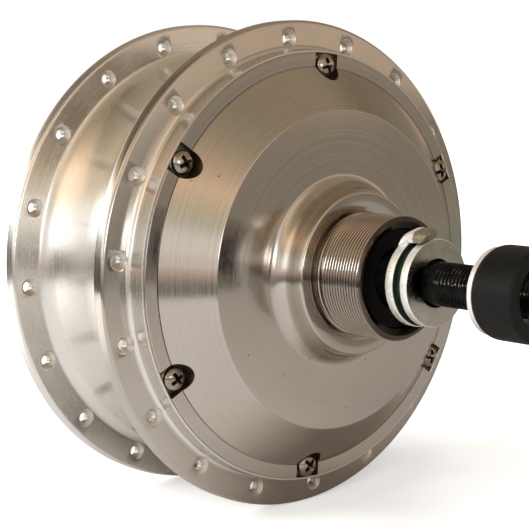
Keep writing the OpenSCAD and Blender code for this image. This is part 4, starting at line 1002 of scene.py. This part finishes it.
def build_end_pieces(side):
    def end_piece(name, body, shape, slot):
        piece = raw_object(side + name + "_detailed", on_side(side, shape))
        finished(piece, side + body, side + name, slot, 40)

    spacer = edge_ring(WASHER_BORE_R, SPACER_R, SPACER_Y, SPACER_T, 128)
    end_piece("_spacer", "_washers", spacer, "spacer_green")
    washer = edge_ring(WASHER_BORE_R, WASHER_R, WASHER_Y, WASHER_T, 144)
    end_piece("_washer", "_washers", washer, "washer_steel")
    collar = edge_ring(NUT_COLLAR_BORE_R, NUT_COLLAR_R, NUT_COLLAR_Y, NUT_COLLAR_T, 144)
    end_piece("_nut_collar", "_collar", collar, "washer_steel")
    cap = [(CAP_MOUTH_R, -CAP_END_Y + 0.46)]
    cap += arc((CAP_MOUTH_R + 0.5, -CAP_END_Y + 0.5), 0.5, 0.5, 180, 270, 6)
    cap += arc((CAP_R - 0.9, -CAP_END_Y + 0.9), 0.9, 0.9, -90, 0, 8)
    cap += arc((CAP_R - 1.2, -CAP_Y - 2.6), 1.2, 2.6, 0, 82, 14)
    cap += [(CAP_BORE_R, -CAP_Y), (CAP_BORE_R, -CAP_BORE_END_Y), (CAP_MOUTH_R, -CAP_BORE_END_Y - 0.8)]
    end_piece("_nut_cap", "_nut", turned(cap, 160), "cap_rubber")


def build_drive_seal():
    outline = [
        (8.7, 0.0), (9.2, 0.25), (12.2, 0.25), (12.6, 0.0), (13.7, 0.0), (13.98, 0.3), (13.98, 4.6),
        (12.6, 4.6), (12.6, 1.2), (9.4, 1.2), (7.58, 2.8), (7.58, 2.2),
    ]
    seal = raw_object("drive_seal_detailed", turned([(r, SEAL_FACE_Y + y) for r, y in outline], 144))
    finished(seal, "hub", "drive_seal", "seal_rubber", 40)


def shade_plain_nodes():
    for slot, names in PLAIN_NODES.items():
        for name in names:
            node = NODES[name]
            if not node.material_slots:
                node.data.materials.append(FINISH[slot])
            for place in node.material_slots:
                place.link = "OBJECT"
                place.material = FINISH[slot]


build_shell()
build_cover()
build_screws()
build_spring_washers()
build_axle()
for side in ("drive", "left"):
    build_tab_washer(side)
    build_end_pieces(side)
build_drive_seal()
shade_plain_nodes()

# Camera, fitted to the photograph: where it looks from, how far off, and where the cover's middle falls

AZIMUTH = math.radians(-41.1115)
ELEVATION = math.radians(6.7898)
DISTANCE = 0.437916
LENS = 100.66
AIM_RIGHT = -0.010954
AIM_UP = 0.000255


def direction(azimuth, elevation):
    level = math.cos(elevation)
    return math.sin(azimuth) * level, -math.cos(azimuth) * level, math.sin(elevation)


def build_camera():
    back = Vector(direction(AZIMUTH, ELEVATION))
    right = Vector((math.cos(AZIMUTH), math.sin(AZIMUTH), 0.0))
    up = back.cross(right)
    target = Vector((0.0, DRIVE_Y / 1000, 0.0)) + right * AIM_RIGHT + up * AIM_UP
    camera = bpy.data.objects.new("camera", bpy.data.cameras.new("camera"))
    scene.collection.objects.link(camera)
    facing = Matrix((right, up, back)).transposed().to_4x4()
    camera.matrix_world = Matrix.Translation(target + back * DISTANCE) @ facing
    camera.data.lens = LENS
    camera.data.sensor_width = 36.0
    camera.data.clip_start = 0.01
    camera.data.clip_end = 20.0
    scene.camera = camera


# Studio, in metres

FLOOR_Z = -FLANGE_R / 1000
PAPER_TOP = 0.012
DOME_R = 1.5


def build_world():
    world = bpy.data.worlds.new("studio")
    world.use_nodes = True
    scene.world = world
    studio = Nodes(world.node_tree)
    dim = studio.tree.nodes["Background"]
    studio.put_colour(dim.inputs["Color"], (0.80, 0.78, 0.76))
    studio.put(dim.inputs["Strength"], 0.35)
    white = studio.add("Background", {"Color": (1.0, 1.0, 1.0, 1.0), "Strength": 1.0})
    path = studio.add("LightPath").outputs
    seen = studio.most(path["Is Camera Ray"], path["Is Glossy Ray"], path["Is Transmission Ray"])
    choice = studio.add("MixShader", {0: seen, 1: dim.outputs[0], 2: white.outputs[0]})
    studio.put(studio.tree.nodes["World Output"].inputs[0], choice.outputs[0])


# Pale floor that keeps the shadow, with other tones for what the metal mirrors: painted light and shadow, lighter
# on the left, darker to the right, a painted shadow under the hub and painted light behind it
def build_floor():
    mesh = bpy.data.meshes.new("floor")
    work = bmesh.new()
    bmesh.ops.create_grid(work, x_segments=24, y_segments=24, size=3.0)
    work.to_mesh(mesh)
    work.free()
    floor = bpy.data.objects.new("floor", mesh)
    floor.location = (0.0, 0.0, FLOOR_Z - 0.0001)
    scene.collection.objects.link(floor)
    f = Finish("floor_paper")
    fibre = f.noise(900.0, 3.0)
    f.bump(fibre, 0.00002)
    paper = f.mix(f.spread(fibre, 0.0, 1.0), (0.76, 0.74, 0.71), (0.80, 0.78, 0.75))
    across = f.add("SeparateXYZ", {0: f.place}).outputs[0]
    # Seen only in reflections: painted light and shadow on the floor
    mirrored_painted_light = f.mix(f.fade(across, -0.08, 0.14), (0.58, 0.565, 0.545), (0.52, 0.485, 0.445))
    under = f.vector("DISTANCE", f.place, (0.04, -0.02, 0.0))
    mirrored_painted_light = f.mix(f.fade(under, 0.02, 0.10, 0.8, 0.0), mirrored_painted_light, (0.43, 0.37, 0.30))
    behind = f.vector("DISTANCE", f.place, (-0.21, 0.19, 0.0))
    mirrored_painted_light = f.mix(f.fade(behind, 0.08, 0.19, 1.0, 0.0), mirrored_painted_light, (1.0, 0.98, 0.94))
    path = f.add("LightPath").outputs
    f.done(f.mix(path["Is Glossy Ray"], paper, mirrored_painted_light), 0.9, specular_ior_level=0.0)
    glow = f.fade(f.vector("LENGTH", f.place), 0.15, 0.5, 0.48, 1.05)
    light = f.add("Emission", {"Color": (1.0, 1.0, 1.0, 1.0), "Strength": glow})
    lit = f.add("AddShader", {0: f.shader.outputs[0], 1: light.outputs[0]})
    choice = f.add("MixShader", {0: path["Is Camera Ray"], 1: f.shader.outputs[0], 2: lit.outputs[0]})
    f.put(f.output.inputs[0], choice.outputs[0])
    mesh.materials.append(f.material)


# One toward an azimuth, falling to zero between two angles from it
def toward(f, azimuth, near, far):
    flat = f.vector("NORMALIZE", f.vector("MULTIPLY", f.place, (1.0, 1.0, 0.0)))
    cosine = f.vector("DOT_PRODUCT", flat, direction(math.radians(azimuth), 0.0))
    return f.fade(cosine, math.cos(math.radians(far)), math.cos(math.radians(near)))


# Room above the horizon: warm brown, pale in front and at the side, with a window behind and a narrow pane
def room_colours(f):
    up = f.add("SeparateXYZ", {0: f.vector("NORMALIZE", f.place)}).outputs[2]
    height = f.times(f.math("ARCSINE", up), 1 / math.radians(90))
    room = f.ramp(height, [
        (0.0, (0.30, 0.26, 0.21)), (0.12, (0.28, 0.24, 0.18)), (0.40, (0.26, 0.21, 0.14)),
        (0.65, (0.36, 0.29, 0.20)), (1.0, (0.34, 0.27, 0.18)),
    ])
    front = f.ramp(height, [
        (0.0, (0.62, 0.50, 0.42)), (0.05, (0.95, 0.90, 0.83)), (0.13, (0.95, 0.91, 0.83)),
        (0.20, (0.68, 0.63, 0.49)), (0.26, (0.74, 0.63, 0.45)), (0.36, (0.98, 0.71, 0.49)),
        (0.44, (0.70, 0.53, 0.37)), (0.56, (0.44, 0.36, 0.25)), (0.72, (0.34, 0.27, 0.18)),
    ])
    side = f.ramp(height, [
        (0.0, (0.25, 0.21, 0.16)), (0.06, (1.0, 1.0, 0.97)), (0.17, (1.0, 1.0, 0.97)),
        (0.27, (0.82, 0.68, 0.50)), (0.42, (0.82, 0.60, 0.41)), (0.58, (0.36, 0.27, 0.17)),
        (0.75, (0.18, 0.13, 0.08)),
    ])
    window = f.ramp(height, [
        (0.0, (0.12, 0.10, 0.08)), (0.06, (0.30, 0.29, 0.27)), (0.10, (0.85, 0.85, 0.83)),
        (0.20, (1.0, 0.99, 0.95)), (0.27, (0.28, 0.23, 0.17)), (0.34, (0.08, 0.065, 0.045)),
        (0.70, (0.05, 0.04, 0.03)),
    ])
    warm = f.ramp(height, [
        (0.0, (0.29, 0.26, 0.21)), (0.05, (0.32, 0.27, 0.21)), (0.08, (0.68, 0.54, 0.40)),
        (0.16, (0.68, 0.53, 0.40)), (0.26, (0.40, 0.32, 0.23)), (0.60, (0.38, 0.30, 0.21)),
    ])
    pane = f.ramp(height, [
        (0.0, (1.5, 1.5, 1.45)), (0.03, (4.2, 4.1, 3.95)), (0.09, (4.2, 4.1, 3.95)), (0.14, (0.0, 0.0, 0.0)),
    ])
    colour = f.mix(toward(f, 42, 24, 44), room, warm)
    colour = f.mix(toward(f, -45, 50, 80), colour, front)
    colour = f.mix(toward(f, -108, 18, 42), colour, f.vector("MULTIPLY", side, (1.7, 1.7, 1.7)))
    colour = f.mix(toward(f, -160, 22, 34), colour, f.vector("MULTIPLY", window, (2.6, 2.6, 2.6)))
    return f.vector("ADD", colour, f.mix(toward(f, -17, 7, 14), (0.0, 0.0, 0.0), pane))


# Dark edge of the room where the paper ends, greenish, with a pinkish top on the camera side
def edge_colours(f):
    up = f.add("SeparateXYZ", {0: f.place}).outputs[2]
    height = f.fade(up, -0.072, PAPER_TOP, smooth=False)
    plain = f.ramp(height, [
        (0.0, (0.25, 0.27, 0.23)), (0.25, (0.22, 0.25, 0.20)), (0.45, (0.38, 0.33, 0.26)),
        (0.62, (0.29, 0.26, 0.20)), (1.0, (0.30, 0.26, 0.21)),
    ])
    front = f.ramp(height, [
        (0.0, (0.20, 0.22, 0.19)), (0.36, (0.25, 0.25, 0.22)), (0.50, (0.40, 0.34, 0.30)),
        (0.62, (0.62, 0.46, 0.38)), (0.80, (0.72, 0.58, 0.48)), (0.93, (0.95, 0.90, 0.83)),
    ])
    back = f.ramp(height, [(0.0, (0.12, 0.10, 0.08)), (1.0, (0.20, 0.18, 0.15))])
    colour = f.mix(toward(f, -45, 45, 70), plain, front)
    return f.mix(toward(f, -160, 50, 80), colour, back)


# A glowing stage piece that only glossy rays see, from rings of points, closed at the top if it is a dome
def reflector(name, rings, colours, dome=False):
    total = len(rings[0])
    faces = [
        (i * total + j, i * total + (j + 1) % total, (i + 1) * total + (j + 1) % total, (i + 1) * total + j)
        for i in range(len(rings) - 1) for j in range(total)
    ]
    if dome:
        faces.append(tuple((len(rings) - 1) * total + j for j in range(total)))
    mesh = bpy.data.meshes.new(name)
    mesh.from_pydata([tuple(p) for ring in rings for p in ring], [], faces)
    piece = bpy.data.objects.new(name, mesh)
    scene.collection.objects.link(piece)
    f = Finish(name)
    f.tree.nodes.remove(f.shader)
    light = f.add("Emission", {"Color": colours(f), "Strength": 1.0})
    f.put(f.output.inputs[0], light.outputs[0])
    f.material.cycles.emission_sampling = "NONE"
    mesh.materials.append(f.material)
    for rays in ("camera", "diffuse", "shadow", "volume_scatter"):
        setattr(piece, "visible_" + rays, False)


def build_room():
    angles = np.arange(96) * 2 * math.pi / 96
    reflector("reflector_room", [
        [DOME_R * np.array(direction(a, e)) for a in angles] for e in np.radians(np.linspace(-6, 88, 25))
    ], room_colours, dome=True)


# Sheets stand along the sides of the paper, with their corners rounded off
def build_paper_edge():
    paper = np.array([(-0.35, -0.19), (0.28, -0.58), (0.64, -0.30), (0.60, 0.40), (-0.10, 0.50), (-0.42, 0.22)])
    line = [
        here + (there - here) * t
        for here, there in zip(paper, np.roll(paper, -1, axis=0)) for t in np.linspace(0.12, 0.88, 9)
    ]
    levels = np.linspace(FLOOR_Z, PAPER_TOP, 5)
    reflector("reflector_edge", [[(x, y, z) for x, y in line] for z in levels], edge_colours)


def lamp(name, place, size, power, colour):
    data = bpy.data.lights.new(name, "AREA")
    data.shape = "RECTANGLE"
    data.size, data.size_y = size
    data.energy = power
    data.color = colour
    made = bpy.data.objects.new(name, data)
    made.location = place
    made.rotation_mode = "QUATERNION"
    made.rotation_quaternion = (-Vector(place)).to_track_quat("-Z", "Y")
    made.visible_glossy = False
    made.visible_camera = False
    scene.collection.objects.link(made)


scene.view_settings.view_transform = "Standard"
build_camera()
build_world()
build_floor()
build_room()
build_paper_edge()
lamp("lamp_window", (-0.9, 0.45, 0.55), (0.8, 0.5), 13.0, (1.0, 0.99, 0.97))
lamp("lamp_top", (-0.2, -0.1, 1.1), (0.6, 0.6), 6.0, (1.0, 0.96, 0.92))
lamp("lamp_front", (-0.9, -0.8, 0.5), (0.6, 0.4), 8.0, (1.0, 0.97, 0.94))
